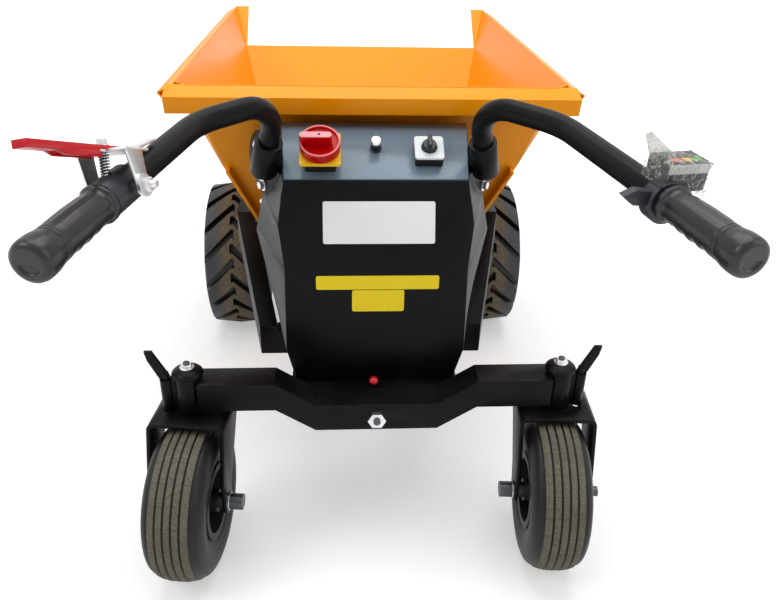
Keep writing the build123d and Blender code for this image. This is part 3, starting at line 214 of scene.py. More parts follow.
# ---------------- finishes
def orange_coat():
    """Glossy orange powder coat with a fine skin, dust in the low corners and a few scuffs."""
    s = Shader("orange powder coat")
    broad = s.noise(2.3, 4.0, 0.6)
    dust = s.noise(11.0, 6.0, 0.62)
    scuff = s.noise(60.0, 3.0, 0.5, stretch=(1.0, 0.12, 1.0))
    low = 1.0 - s.split(s.coords())[2].step(0.50, 0.62)
    base = s.mix((broad - 0.35) * 0.8, srgb("ff9d00"), srgb("ffa600"))
    dusty = (dust.step(0.5, 0.75) * (0.06 + low * 0.3)).clamp()
    base = s.mix(dusty, base, srgb("b98e58"))
    scratch = scuff.step(0.68, 0.74) * 0.1
    base = s.mix(scratch, base, srgb("c9a173"))
    return s.finish(
        Base_Color=base,
        Roughness=0.3 + dust * 0.12 + dusty * 0.35,
        Coat_Weight=0.07 - dusty * 0.07,
        Coat_Roughness=0.12,
        Specular_IOR_Level=0.15,
        Normal=s.bump(s.noise(420.0, 2.0), 0.0004, 0.12),
    )


def black_coat(name, colour, rough, dust_amount, sky_reflection_heights=None):
    """Black powder coat: a pebbled skin, and pale dust on what faces up. Between the two sky reflection
    heights, what faces up turns glossy and gets a painted blue-grey reflection of the sky in its colour."""
    s = Shader(name)
    skin = s.noise(900.0, 2.0, 0.5)
    cloud = s.noise(9.0, 5.0, 0.6)
    up = s.facing_up().step(0.2, 1.0)
    dust = (cloud.step(0.42, 0.78) * (0.25 + up * 0.75) * dust_amount).clamp()
    base = s.mix(dust, colour, srgb("8a8578"))
    glossy = 0.03
    if sky_reflection_heights:
        # painted sky reflection: blue-grey mixed into the colour of the up-facing panel
        panel = (up * s.split(s.coords())[2].step(*sky_reflection_heights)).clamp()
        base = s.mix(panel * (0.55 + cloud * 0.45), base, srgb("8298a9"))
        glossy = panel * 0.6
    return s.finish(
        Base_Color=base,
        Roughness=rough + cloud * 0.14 + dust * 0.4,
        Coat_Weight=glossy,
        Coat_Roughness=0.2,
        Specular_IOR_Level=0.1,
        Normal=s.bump(skin, 0.0003, 0.25),
    )


def bright_steel(name, colour, rough):
    """Zinc-plated steel: cloudy plating with turned lines."""
    s = Shader(name)
    cloud = s.noise(45.0, 4.0, 0.6)
    lines = s.noise(700.0, 2.0, 0.5, stretch=(1.0, 0.08, 1.0))
    base = s.mix(cloud.step(0.3, 0.75), colour, tuple(c * 0.72 for c in colour))
    base = s.mix(s.noise(22.0, 5.0).step(0.62, 0.8) * 0.35, base, srgb("7d6a52"))
    return s.finish(
        Base_Color=base,
        Metallic=1.0,
        Roughness=rough + cloud * 0.18,
        Normal=s.bump(lines, 0.0002, 0.15),
    )


def plastic(name, colour, rough=0.42, grain=700.0, depth=0.15, coat=0.0):
    """Moulded plastic with a fine grain and slight handling marks."""
    s = Shader(name)
    mark = s.noise(30.0, 4.0, 0.6)
    base = s.mix(mark.step(0.45, 0.8) * 0.25, colour, tuple(min(1.0, c * 1.25 + 0.012) for c in colour))
    return s.finish(
        Base_Color=base,
        Roughness=rough + mark * 0.15,
        Specular_IOR_Level=0.35,
        Coat_Weight=coat,
        Coat_Roughness=0.15,
        Normal=s.bump(s.noise(grain, 2.0), 0.0003, depth),
    )


finishes = {
    "orange_paint": orange_coat(),
    "black_paint": black_coat("black powder coat", srgb("0a0b0d"), 0.30, 0.04),
    "rim_paint": black_coat("rim paint", srgb("2a2a2b"), 0.36, 0.3),
    "axle_steel": black_coat("axle paint", srgb("1c1c1e"), 0.4, 0.2),
    "nut_steel": bright_steel("dark plated steel", srgb("5a5c5f"), 0.28),
    "bright_steel": bright_steel("zinc-plated steel", srgb("e4e5e6"), 0.22),
    "motor_casting": black_coat("motor casting", srgb("414245"), 0.5, 0.3),
    "grip_rubber": plastic("grip rubber", srgb("0e1216"), 0.32, 1200.0, 0.08, 0.2),
    "pad_rubber": plastic("rest pad rubber", srgb("222222"), 0.8),
    "battery_case": plastic("battery case", srgb("3b3c40"), 0.5),
    "actuator_case": bright_steel("anodised tube", srgb("a9abad"), 0.4),
    "yellow_plastic": plastic("yellow switch plate", srgb("ffcc10"), 0.35),
    "red_plastic": plastic("red knob", srgb("d93026"), 0.3),
    "red_vinyl": plastic("red dipped vinyl", srgb("d0081c"), 0.16, 300.0, 0.05),
    "white_plastic": plastic("white switch plate", srgb("e3e8e9"), 0.35),
    "black_plastic": plastic("black plastic", srgb("2b2e33"), 0.38),
    "tyre_rubber": plastic("tyre side rubber", srgb("2f2d2b"), 0.75),
}


def dress(obj, material):
    """Gives an object one material."""
    obj.data.materials.clear()
    obj.data.materials.append(material)


PANEL_EDGE = (0.764, 0.772)  # heights at which the console's front turns into its sloping panel; above them the up-facing panel gets a painted sky reflection
slot_of = {part["node"]: part["material_slot"] for part in frame["record"]["subparts"]}
own_finish = {
    "console_shell": black_coat("console powder coat", srgb("0b0c10"), 0.34, 0.04, PANEL_EDGE),
    "caster_axle_left": finishes["nut_steel"],
    "caster_axle_right": finishes["nut_steel"],
}


def finish_of(node):
    """The node's own finish, or that of its material slot."""
    return own_finish.get(node, finishes[slot_of[node]])


for node_name, node_object in nodes.items():
    dress(node_object, finish_of(node_name))


def middle(node):
    """Middle of a CAD node's box. A tyre stands on the floor, so its middle's height is its radius."""
    low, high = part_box(node)
    return np.array((low + high) / 2)


# ---------------- making meshes
def piece(name, points, faces, material, body, slot=None, sharp=None):
    """A mesh object from arrays of points and faces, dressed, and riding on a body. Edges over sharp
    degrees stay sharp."""
    mesh = bpy.data.meshes.new(name)
    mesh.from_pydata(np.asarray(points, float).reshape(-1, 3).tolist(), [], faces)
    mesh.shade_smooth()
    if sharp:
        mesh.set_sharp_from_angle(angle=math.radians(sharp))
    mesh.update()
    made = placed(name, mesh)
    dress(made, material)
    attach(made, body)
    return made


def grid_faces(rows, columns, close_rows=False, close_columns=False):
    """Quads over a grid of points stored row by row. A closed direction joins its last line to its
    first."""
    i = np.arange(rows if close_rows else rows - 1)
    j = np.arange(columns if close_columns else columns - 1)
    i, j = np.meshgrid(i, j, indexing="ij")
    n, m = (i + 1) % rows, (j + 1) % columns
    quads = np.stack([i * columns + j, i * columns + m, n * columns + m, n * columns + j], -1)
    return quads.reshape(-1, 4).tolist()


def end_faces(rows, columns):
    """Flat faces over the first and the last row of a grid whose columns are closed."""
    return [tuple(range(columns))[::-1], tuple(range((rows - 1) * columns, rows * columns))]


def joined(parts):
    """One list of points and one of faces from several (points, faces)."""
    points, faces, start = [], [], 0
    for some_points, some_faces in parts:
        some_points = np.asarray(some_points, float).reshape(-1, 3)
        points.append(some_points)
        faces += [tuple(k + start for k in face) for face in some_faces]
        start += len(some_points)
    return np.concatenate(points), faces


def unit(vector):
    vector = np.asarray(vector, float)
    return vector / np.linalg.norm(vector)


def axes_on(direction):
    """Two unit vectors square to direction and to each other, right-handed with it."""
    direction = unit(direction)
    hint = (1.0, 0.0, 0.0) if abs(direction[2]) > 0.95 else (0.0, 0.0, 1.0)
    first = unit(np.cross(hint, direction))
    return first, np.cross(direction, first)


def turned(centre, direction, profile, segments):
    """Surface of revolution: point = centre + along * d + radius * (cos a * u + sin a * v), for each
    (radius, along) of the profile, which runs in the direction of d. Each end is closed by a fan round its
    pole, at radius 0, which is level with the end unless the profile gives it."""
    first, last = profile[0], profile[-1]
    profile = [(0, first[1])] * (first[0] > 0) + list(profile) + [(0, last[1])] * (last[0] > 0)
    profile = np.asarray(profile, float)
    u, v = axes_on(direction)
    d = unit(direction)
    angle = np.arange(segments) * 2 * np.pi / segments
    ring = np.cos(angle)[:, None] * u + np.sin(angle)[:, None] * v
    inner = profile[1:-1]
    points = np.asarray(centre) + inner[:, 1, None, None] * d + inner[:, 0, None, None] * ring
    faces = grid_faces(len(inner), segments, close_columns=True)
    count = len(inner) * segments
    poles = np.asarray(centre) + np.outer(profile[[0, -1], 1], d)
    end = (len(inner) - 1) * segments
    fans = [(count, (a + 1) % segments, a) for a in range(segments)]
    fans += [(count + 1, end + a, end + (a + 1) % segments) for a in range(segments)]
    return np.concatenate([points.reshape(-1, 3), poles]), faces + fans


def along_path(path, section, up):
    """A section carried along a path: point = path + a * side + b * over, for each (a, b) of the section,
    where side is square to the tangent and up, and over to side and the tangent. The ends are closed by
    flat faces."""
    path = np.asarray(path, float)
    section = np.asarray(section, float)
    tangent = np.gradient(path, axis=0)
    tangent /= np.linalg.norm(tangent, axis=1)[:, None]
    side = np.cross(tangent, np.broadcast_to(unit(up), tangent.shape))
    side /= np.linalg.norm(side, axis=1)[:, None]
    over = np.cross(side, tangent)
    points = path[:, None] + section[:, 0, None] * side[:, None] + section[:, 1, None] * over[:, None]
    rows, columns = points.shape[:2]
    faces = grid_faces(rows, columns, close_columns=True) + end_faces(rows, columns)
    return points.reshape(-1, 3), faces


def circle(radius, count):
    """Points of a circle, turned so that faces carried along a path point outwards."""
    angle = -np.arange(count) * 2 * np.pi / count
    return np.stack([radius * np.cos(angle), radius * np.sin(angle)], -1)


CORNER_POINTS = 6


def slab(centre, across, up, width, height, thickness, corner, rim):
    """Plate with round corners: each level's outline is the rectangle's core plus a corner circle, and the
    rim is a small chamfer. Its normal is square to across and up, and the centre is on its back face."""
    across, up = unit(across), unit(up)
    out = np.cross(across, up)
    quarter = np.linspace(0, np.pi / 2, CORNER_POINTS)
    angle = np.concatenate([q * np.pi / 2 + quarter for q in range(4)])
    sign_a = np.repeat([1, -1, -1, 1], CORNER_POINTS)
    sign_b = np.repeat([1, 1, -1, -1], CORNER_POINTS)
    rings = []
    for shrink, level in ((0.0, 0.0), (0.0, thickness - rim), (rim, thickness)):
        a = sign_a * (width / 2 - corner) + (corner - shrink) * np.cos(angle)
        b = sign_b * (height / 2 - corner) + (corner - shrink) * np.sin(angle)
        rings.append(np.asarray(centre) + a[:, None] * across + b[:, None] * up + level * out)
    return np.concatenate(rings), grid_faces(3, len(angle), close_columns=True) + end_faces(3, len(angle))


WASHER_STEP = 0.0002  # a washer's middle stands this far over its face


def hex_head(centre, out, flat, height, washer, washer_t=0.0016):
    """Hexagon bolt head with chamfered top corners, six-sided, on a round washer of this radius."""
    base = np.asarray(centre, float)
    top = washer_t + WASHER_STEP
    rim = [(washer * 0.97, 0), (washer, washer_t * 0.3), (washer, washer_t), (washer * 0.6, top)]
    corner = flat / math.sqrt(3)
    head = [(corner, 0), (corner, height * 0.82), (corner * 0.9, height), (corner * 0.5, height)]
    head.append((0, height * 0.96))
    return joined([turned(base, out, rim, 20), turned(base + unit(out) * washer_t, out, head, 6)])


def round_head(centre, out, radius, height):
    """Button head screw: a low dome with a sunk middle."""
    rise = np.linspace(0, np.pi / 2, 6)[:-1]
    dome = [(radius * math.cos(a), height * math.sin(a)) for a in rise]
    sunk = [(radius * 0.42, height), (radius * 0.36, height * 0.55), (0, height * 0.5)]
    return turned(centre, out, dome + sunk, 18)


FLAT_ANGLE = math.radians(0.5)  # faces that meet under this angle are one
EDGE_ANGLE = math.radians(32.0)  # edges over this angle are rounded


def softened(node, width):
    """A copy of a CAD node with its sharp edges rounded by width, standing for it."""
    mesh = nodes[node].data.copy()
    made = placed(f"{node}_shell", mesh)
    work = bmesh.new()
    work.from_mesh(mesh)
    bmesh.ops.remove_doubles(work, verts=work.verts, dist=1e-5)
    bmesh.ops.dissolve_limit(work, angle_limit=FLAT_ANGLE, verts=work.verts, edges=work.edges)
    work.to_mesh(mesh)
    work.free()
    mesh.shade_smooth()
    bevel = made.modifiers.new("edges", "BEVEL")
    bevel.width = width
    bevel.segments = 2
    bevel.limit_method = "ANGLE"
    bevel.angle_limit = EDGE_ANGLE
    bevel.harden_normals = True
    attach(made, body_of[node])
    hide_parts(node)


body_of = {}
for body_name, members in frame["record"]["behaviour"]["bodies"].items():
    body_of.update(dict.fromkeys(members, body_name))


# ---------------- tyres
def wheel_axes(turn):
    """A wheel's axle direction, and its forward and upward ones. turn is in degrees, clockwise from above."""
    t = math.radians(turn)
    return np.array([[math.cos(t), -math.sin(t), 0.0], [math.sin(t), math.cos(t), 0.0], [0.0, 0.0, 1.0]])


def ring_surface(centre, axes, across, radius, angles):
    """Torus-like surface: point = centre + across * axle + radius * (cos a * forward + sin a * up). across
    and radius have one row for each angle, or angles has the same shape as they have."""
    angles = np.broadcast_to(angles[:, None] if angles.ndim == 1 else angles, across.shape)
    points = (
        across[..., None] * axes[0]
        + (radius * np.cos(angles))[..., None] * axes[1]
        + (radius * np.sin(angles))[..., None] * axes[2]
        + centre
    )
    return points.reshape(-1, 3), grid_faces(*across.shape, close_rows=True, close_columns=True)


def softened_line(corners, count):
    """Quadratic B-spline through the middles of a line's runs, from its first corner to its last."""
    c = np.asarray(corners, float)
    mids = (c[:-1] + c[1:]) / 2
    t = np.linspace(0, 1, count + 1)[:-1, None]
    spans = [
        (1 - t) ** 2 * start + 2 * t * (1 - t) * corner + t * t * end
        for start, corner, end in zip(mids[:-1], c[1:-1], mids[1:])
    ]
    return np.concatenate([c[:1], *spans, mids[-1:], c[-1:]])


CASTER_TURN = {"left": 7.0, "right": 4.0}  # degrees each caster stands turned, clockwise from above
RIBS = 5
RIB_PITCH = 0.0152
RIB_GROOVE = 0.0042
RIB_DEPTH = 0.0035
CASTER_TREAD = 0.038  # half the tread's width
CASTER_CROWN = 0.006
CASTER_STEPS = 200  # of the ring
MARKS = 24  # moulding lines round a tyre
GROOVE_SHAPE = (
    # offset from the groove's middle in groove widths, depth as a share
    (-0.62, 0.0), (-0.5, 0.12), (-0.3, 0.92), (0.0, 1.0), (0.3, 0.92), (0.5, 0.12), (0.62, 0.0))
CASTER_WALL = (
    # across, radius: down the side wall, round the bead and in to the rim
    (0.044, 0.1475), (0.0530, 0.1400), (0.0590, 0.1220), (0.0583, 0.1060), (0.0545, 0.0935),
    (0.0556, 0.0915), (0.0545, 0.0890), (0.0500, 0.0800), (0.0495, 0.0772))


def caster_crown(x):
    """How far the tread lies below its middle: a parabola outside the middle rib."""
    return CASTER_CROWN * (np.maximum(np.abs(x) - RIB_PITCH / 2, 0) / (CASTER_TREAD - RIB_PITCH / 2)) ** 2


def ribbed_tyre(side):
    """Caster tyre. Crown radius = the tyre's radius less the crown's parabola, less a groove depth between
    five round-going ribs; the side walls bulge to the full width, and the section closes along the bead."""
    node = f"caster_tyre_{side}"
    centre = middle(node)
    radius = centre[2]
    half = []
    for k in range(RIBS // 2):
        groove = (k + 0.5) * RIB_PITCH
        half += [(groove + offset * RIB_GROOVE, depth) for offset, depth in GROOVE_SHAPE]
        half.append(((k + 1) * RIB_PITCH, 0.0))
    half.append((CASTER_TREAD - 0.0012, 0.0))
    half = np.array(half)
    crown = np.stack([half[:, 0], radius - caster_crown(half[:, 0]) - RIB_DEPTH * half[:, 1]], -1)
    edge = radius - CASTER_CROWN
    wall = softened_line([(CASTER_TREAD, edge - 0.0008), (0.0392, edge - 0.004), *CASTER_WALL], 5)
    side_half = np.concatenate([crown, wall])
    profile = np.concatenate([[(0.0, radius)], side_half, side_half[::-1] * (-1, 1)])
    angles = np.arange(CASTER_STEPS) * 2 * np.pi / CASTER_STEPS
    across = np.broadcast_to(profile[:, 0], (len(angles), len(profile)))
    around = np.broadcast_to(profile[:, 1], across.shape)
    points, faces = ring_surface(centre, wheel_axes(CASTER_TURN[side]), across, around, angles)
    made = piece(f"caster_tyre_ribs_{side}", points, faces, caster_rubber(side, centre, radius),
                 f"caster_wheel_{side}", "tyre_rubber")
    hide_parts(node)


def caster_rubber(side, centre, radius):
    """Rib tops scrubbed to a dusty tan, with fine moulding lines across them; black grooves and side
    walls."""
    s = Shader(f"caster tyre rubber {side}")
    x, y, z = s.split(s.around(centre, turn=(0, 0, math.radians(CASTER_TURN[side]))))[:3]
    from_axle = (y * y + z * z) ** 0.5
    across = x.absolute()
    run = ((across - RIB_PITCH / 2).maximum(0.0)) * (1 / (CASTER_TREAD - RIB_PITCH / 2))
    depth = radius - CASTER_CROWN * run * run - from_axle
    grain = s.noise(260.0, 5.0, 0.65)
    cloud = s.noise(14.0, 4.0, 0.6)
    angle = y.arctan2(z)
    mark = ((angle * (MARKS / (2 * math.pi)) + 10.0).fraction() - 0.5).absolute().step(0.006, 0.018)
    on_rib = 1.0 - (depth + (grain - 0.5) * 0.0014).step(0.0008, 0.0018)
    on_tread = 1.0 - across.step(CASTER_TREAD - 0.0015, CASTER_TREAD + 0.0005)
    tan = s.mix(grain.step(0.3, 0.7), srgb("57544a"), srgb("7d7969"))
    tan = s.mix(cloud.step(0.35, 0.8) * 0.55, tan, srgb("574f42"))
    dark = s.mix(cloud.step(0.3, 0.8) * 0.5, srgb("0b0b0b"), srgb("1c1a18"))
    rib = (on_rib * on_tread * (0.45 + 0.55 * mark)).clamp()
    return s.finish(
        Base_Color=s.mix(rib, dark, tan),
        Roughness=0.42 + rib * 0.45 + grain * 0.1,
        Specular_IOR_Level=0.3,
        Normal=s.bump(grain * 0.6 + mark * 0.4, 0.0006, 0.45),
    )


LUGS = 16
LUG_HEIGHT = 0.020
LUG_LEAN = math.radians(20.6)  # round the tyre, from a lug's nose to its shoulder end
LUG_DRAFT = 0.0025
GROOVE_MIDDLE = 0.0285  # width between the lug tops at the tyre's middle, and out at the side wall
GROOVE_SIDE = 0.0230
NOSE = 0.006  # a half's grooves run this far past the middle
GROOVE_REACH = 0.103  # from the middle to where the groove has its side width
DRIVE_TREAD = 0.076
DRIVE_DROP = 0.008
DRIVE_CROWN = (0.0012, NOSE - 0.0014, NOSE, 0.018, 0.032, 0.046, 0.060, 0.070)  # the crown's lines, across
DRIVE_WALL = (
    # across, radius: down the side wall to the rim
    (0.0790, 0.2030), (0.0830, 0.1900), (0.0850, 0.1740), (0.0848, 0.1600), (0.0800, 0.1420),
    (0.0720, 0.1290), (0.0640, 0.1195), (0.0600, 0.1120), (0.0590, 0.1062))
GROOVE_LINES = (
    # line's place in half groove widths, its move inwards in drafts, whether it lies in the groove
    (-1.0, 0, False), (-1.0, 1, True), (-0.5, 0, True), (0.0, 0, True),
    (0.5, 0, True), (1.0, -1, True), (1.0, 0, False))


def lug_lines(across, radius):
    """Angles of the grid's lines on a drive tyre, and which half's groove each crosses. Every pitch has two
    grooves, one for each half of the tread; a line keeps its share of the groove's width, and all lean with
    distance from the middle."""
    pitch = 2 * np.pi / LUGS
    middles = (np.arange(LUGS * 2) * 0.5 + 0.25) * pitch - np.pi / 2
    widening = (GROOVE_SIDE - GROOVE_MIDDLE) * (np.abs(across) + NOSE) / GROOVE_REACH
    half_width = (GROOVE_MIDDLE + widening) / 2
    steps, drafts, in_groove = (np.array(column)[:, None] for column in zip(*GROOVE_LINES))
    reach = half_width * steps + drafts * LUG_DRAFT
    lean = LUG_LEAN * np.minimum(np.abs(across) / DRIVE_TREAD, 1.25)
    right_half = np.arange(LUGS * 2) % 2 == 0
    return middles[:, None, None] + reach[None] / radius + lean, in_groove, right_half


def lugged_tyre(side):
    """Drive tyre. Lug tops follow the crown line and the side wall; in a groove the radius is the smaller
    of that and the crown line less the lug's height, so grooves run out through the side wall."""
    node = f"drive_tyre_{side}"
    centre = middle(node)
    radius = centre[2]
    edge = radius - DRIVE_DROP
    inner = np.array(DRIVE_CROWN)
    crown = np.stack([inner, radius - DRIVE_DROP * inner / DRIVE_TREAD], -1)
    wall = softened_line([(0.0735, edge + 0.0003), (0.0762, edge - 0.0006), *DRIVE_WALL], 4)
    half = np.concatenate([crown, wall])
    profile = np.concatenate([half, half[::-1] * (-1, 1)])
    across, tops = profile[:, 0], profile[:, 1]
    angle, in_groove, right_half = lug_lines(across, radius)
    floor = np.minimum(tops, radius - LUG_HEIGHT - DRIVE_DROP * np.abs(across) / DRIVE_TREAD)
    in_half = np.where(right_half[:, None], across[None] > -NOSE, across[None] < NOSE)
    low = in_groove[None] & in_half[:, None, :]
    shaped = np.where(low, floor, tops)
    rows = shaped.shape[0] * shaped.shape[1]
    across = np.broadcast_to(across, (rows, len(profile)))
    shaped, angle = shaped.reshape(rows, -1), angle.reshape(rows, -1)
    points, faces = ring_surface(centre, wheel_axes(0.0), across, shaped, angle)
    if side == "left":
        points = (points - centre) * (-1, 1, 1) + centre
        faces = [face[::-1] for face in faces]
    rubber = lug_rubber(side, centre, radius)
    made = piece(f"drive_tyre_lugs_{side}", points, faces, rubber, f"drive_wheel_{side}", "tyre_rubber",
                 sharp=35.0)
    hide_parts(node)


def lug_rubber(side, centre, radius):
    """Blue-black rubber; lug tops dusted brown towards the middle of the tread, and the grooves darker than
    the tops, near black with brown flecks."""
    s = Shader(f"drive tyre rubber {side}")
    x, y, z = s.split(s.around(centre))[:3]
    from_axle = (y * y + z * z) ** 0.5
    across = x.absolute()
    grain = s.noise(190.0, 5.0, 0.65)
    cloud = s.noise(22.0, 4.0, 0.6)
    crown = radius - across * (DRIVE_DROP / DRIVE_TREAD)
    top = 1.0 - (crown - from_axle + (grain - 0.5) * 0.003).step(0.001, 0.005)
    middle_band = 1.0 - (across + (cloud - 0.5) * 0.045).step(0.024, 0.052)
    brown = s.mix(grain.step(0.3, 0.7), srgb("4f463a"), srgb("7a6d58"))
    dark = s.mix(cloud.step(0.3, 0.75) * 0.7, srgb("1c2026"), srgb("343a43"))
    low = s.mix(grain.step(0.4, 0.7) * 0.5, srgb("121211"), srgb("2e2820"))
    worn = (top * middle_band).clamp()
    return s.finish(
        Base_Color=s.mix(worn, s.mix(top, low, dark), brown),
        Roughness=0.42 + worn * 0.4 + grain * 0.15,
        Normal=s.bump(grain, 0.0008, 0.4),
    )


for tyre_side in ("left", "right"):
    ribbed_tyre(tyre_side)
    lugged_tyre(tyre_side)


# ---------------- softened sheet metal and castings
for node_name, edge_width in (
    ("console_shell", 0.0030),
    ("tub", 0.0016),
    ("tub_hinge_frame", 0.0012),
    ("rear_beam", 0.0030),
    ("chassis_frame", 0.0020),
    ("caster_fork_left", 0.0018),
    ("caster_fork_right", 0.0018),
    ("handle_socket_left", 0.0012),
    ("handle_socket_right", 0.0012),
    ("swivel_lock_pin_left", 0.0010),
    ("swivel_lock_pin_right", 0.0010),
    ("brake_lever", 0.0010),
    ("brake_lever_grip", 0.0024),
    ("brake_lever_clamp", 0.0012),
    ("throttle_clamp", 0.0016),
    ("throttle_thumb_lever", 0.0020),
    ("throttle_box", 0.0020),
):
    softened(node_name, edge_width)


# ---------------- control panel
X = np.array([1.0, 0.0, 0.0])
Z = np.array([0.0, 0.0, 1.0])
PANEL_UP = unit((0.0, 0.1000, 0.0620))  # the panel's slope, towards the tub
PANEL_OUT = np.cross(X, PANEL_UP)


def points_of(node):
    """Corners of a CAD node's mesh, as an array."""
    mesh = nodes[node].data
    flat = np.empty(len(mesh.vertices) * 3)
    mesh.vertices.foreach_get("co", flat)
    return flat.reshape(-1, 3)


def panel_seat(node):
    """Middle of a control's foot on the panel."""
    spans = [points_of(node) @ axis for axis in (X, PANEL_UP, PANEL_OUT)]
    across, up = ((span.min() + span.max()) / 2 for span in spans[:2])
    return X * across + PANEL_UP * up + PANEL_OUT * spans[2].min()


def topped(name, colour, top_colour, seat, level, rough):
    """Glossy plastic with a paler colour above a level out from the panel, where the edges catch the
    light."""
    s = Shader(name)
    off = s.node("ShaderNodeVectorMath", {"operation": "SUBTRACT"}, [s.coords(), tuple(seat)])[0]
    out = s.node("ShaderNodeVectorMath", {"operation": "DOT_PRODUCT"}, [off, tuple(PANEL_OUT)])[1]
    mark = s.noise(60.0, 4.0, 0.6)
    base = s.mix(mark.step(0.45, 0.8) * 0.2, colour, tuple(c * 0.8 for c in colour))
    base = s.mix(out.step(level - 0.0008, level), base, top_colour)
    return s.finish(
        Base_Color=base,
        Roughness=rough + mark * 0.1,
        Specular_IOR_Level=0.25,
        Normal=s.bump(s.noise(500.0, 2.0), 0.0002, 0.1),
    )


def fitting(name, shape, finish, slot, body="chassis", sharp=40.0, stands_for=None):
    """A small piece from (points, faces). stands_for names the CAD node that it replaces."""
    made = piece(name, *shape, finish, body, slot, sharp=sharp)
    if stands_for:
        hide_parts(stands_for)


def steel_fitting(name, parts, body="chassis", sharp=35.0):
    """Several bright steel shapes as one piece."""
    fitting(name, joined(parts), finishes["bright_steel"], "bright_steel", body, sharp)


def panel_slab(level, width, height, thickness, corner, rim, shift=0.0):
    """Slab over the present seat: its back face is at this level over the panel, and shift moves it
    across."""
    return slab(seat + PANEL_OUT * level + X * shift, X, PANEL_UP, width, height, thickness, corner, rim)


def panel_disc(profile, segments):
    """Turned shape over the present seat."""
    return turned(seat, PANEL_OUT, profile, segments)


panel_black = plastic("panel black plastic", srgb("141517"), 0.28)
glossy_black = plastic("glossy black plastic", srgb("0e0f11"), 0.12, 400.0, 0.05)

# isolator: black body, yellow plate, red dished knob with a bar across it
seat = panel_seat("isolator_base")
fitting("isolator_body", panel_slab(0.0, 0.058, 0.058, 0.0262, 0.004, 0.001), panel_black, "black_plastic")
fitting("isolator_plate", panel_slab(0.026, 0.076, 0.076, 0.006, 0.005, 0.0012),
        finishes["yellow_plastic"], "yellow_plastic", stands_for="isolator_base")
fitting("isolator_dish", panel_disc(
    [(0.0345, 0.032), (0.0372, 0.0335), (0.0378, 0.038), (0.0378, 0.0515), (0.0372, 0.0533), (0.0358, 0.0540),
     (0.0343, 0.0536), (0.0335, 0.0520), (0.0333, 0.0470), (0.0310, 0.0460)], 64),
    topped("isolator red", srgb("c40006"), srgb("f58a86"), seat, 0.0528, 0.22), "red_plastic",
    stands_for="isolator_knob")
fitting("isolator_bar", panel_slab(0.0455, 0.059, 0.0135, 0.0245, 0.0066, 0.0008, -0.0075),
        topped("isolator bar red", srgb("c40006"), srgb("f7a3a6"), seat, 0.0690, 0.25), "red_plastic")
hole_at = seat + PANEL_OUT * 0.0700 - X * 0.001
fitting("isolator_bar_hole", turned(hole_at, PANEL_OUT, [(0.0026, 0), (0.0026, 0.0002)], 20),
        panel_black, "black_plastic")

# key switch: black barrel, bright bezel with a keyway
seat = panel_seat("key_switch")
fitting("key_barrel", panel_disc([(0.0112, 0), (0.0112, 0.0022), (0.0098, 0.0030), (0.0098, 0.0190)], 32),
        panel_black, "black_plastic")
fitting("key_bezel", panel_disc(
    [(0.0104, 0.0180), (0.0110, 0.0190), (0.0110, 0.0225), (0.0100, 0.0245), (0.0082, 0.0262),
     (0.0066, 0.0262), (0.0060, 0.0250), (0, 0.0248)], 32),
    finishes["bright_steel"], "bright_steel", stands_for="key_switch")
fitting("keyway", panel_slab(0.0247, 0.0020, 0.0085, 0.0004, 0.0008, 0.0001), panel_black, "black_plastic")

# mode switch: black body, white plate, black pointer knob
seat = panel_seat("mode_switch_base")
fitting("mode_body", panel_slab(0.0, 0.053, 0.053, 0.0202, 0.004, 0.001), panel_black, "black_plastic")
fitting("mode_plate", panel_slab(0.020, 0.055, 0.055, 0.004, 0.006, 0.001),
        finishes["white_plastic"], "white_plastic", stands_for="mode_switch_base")
fitting("mode_dial", panel_disc(
    [(0.0155, 0.024), (0.0155, 0.0262), (0.0138, 0.0300), (0.0132, 0.0325), (0.0120, 0.0336)], 48),
    glossy_black, "black_plastic", stands_for="mode_switch_knob")
fitting("mode_pointer", panel_slab(0.0300, 0.0085, 0.029, 0.016, 0.0040, 0.0012),
        glossy_black, "black_plastic")

# ---------------- blank plates and fasteners of the console
label_white = plastic("white label film", srgb("f8f8f8"), 0.3, 200.0, 0.05)
label_yellow = plastic("yellow label film", srgb("fbdc08"), 0.34, 200.0, 0.05)
label_red = plastic("red label film", srgb("b3262b"), 0.34, 200.0, 0.05)
FILM_RIM = 0.0001
UPPER_BACK = (0, 0.0262, 0.0734)  # upward along the console's upper back face
LOWER_BACK = (0, 0.0065, 0.1770)  # and along its lower one
SIDE_OUT = unit((-0.97, -0.26, -0.04))  # out from the left side panel, between its rear corner and its flare
side_across = unit(np.cross(Z, SIDE_OUT))
side_up = np.cross(SIDE_OUT, side_across)
side_seat = np.array([-0.2040, -0.2420, 0.6500]) + SIDE_OUT * 0.0022
red_seat = side_seat + side_up * 0.021 + SIDE_OUT * 0.0004
PLATES = (
    # name, middle, across, up, (width, height, thickness, corner), film, slot
    ("plate_white", (0.0045, -0.3306, 0.6944), X, UPPER_BACK, (0.2100, 0.0790, 0.0005, 0.004),
     label_white, "white_plastic"),
    ("plate_yellow_long", (0.0020, -0.3612, 0.5845), X, LOWER_BACK, (0.2340, 0.0285, 0.0005, 0.004),
     label_yellow, "yellow_plastic"),
    ("plate_yellow_short", (0.0030, -0.3626, 0.5462), X, LOWER_BACK, (0.1000, 0.0455, 0.0005, 0.004),
     label_yellow, "yellow_plastic"),
    ("plate_side_white", side_seat, side_across, side_up, (0.105, 0.058, 0.0005, 0.003),
     label_white, "white_plastic"),
    ("plate_side_red", red_seat, side_across, side_up, (0.101, 0.012, 0.0003, 0.001),
     label_red, "white_plastic"),
)
for name, place, across, up, sizes, film, slot in PLATES:
    fitting(name, slab(place, across, up, *sizes, FILM_RIM), film, slot)

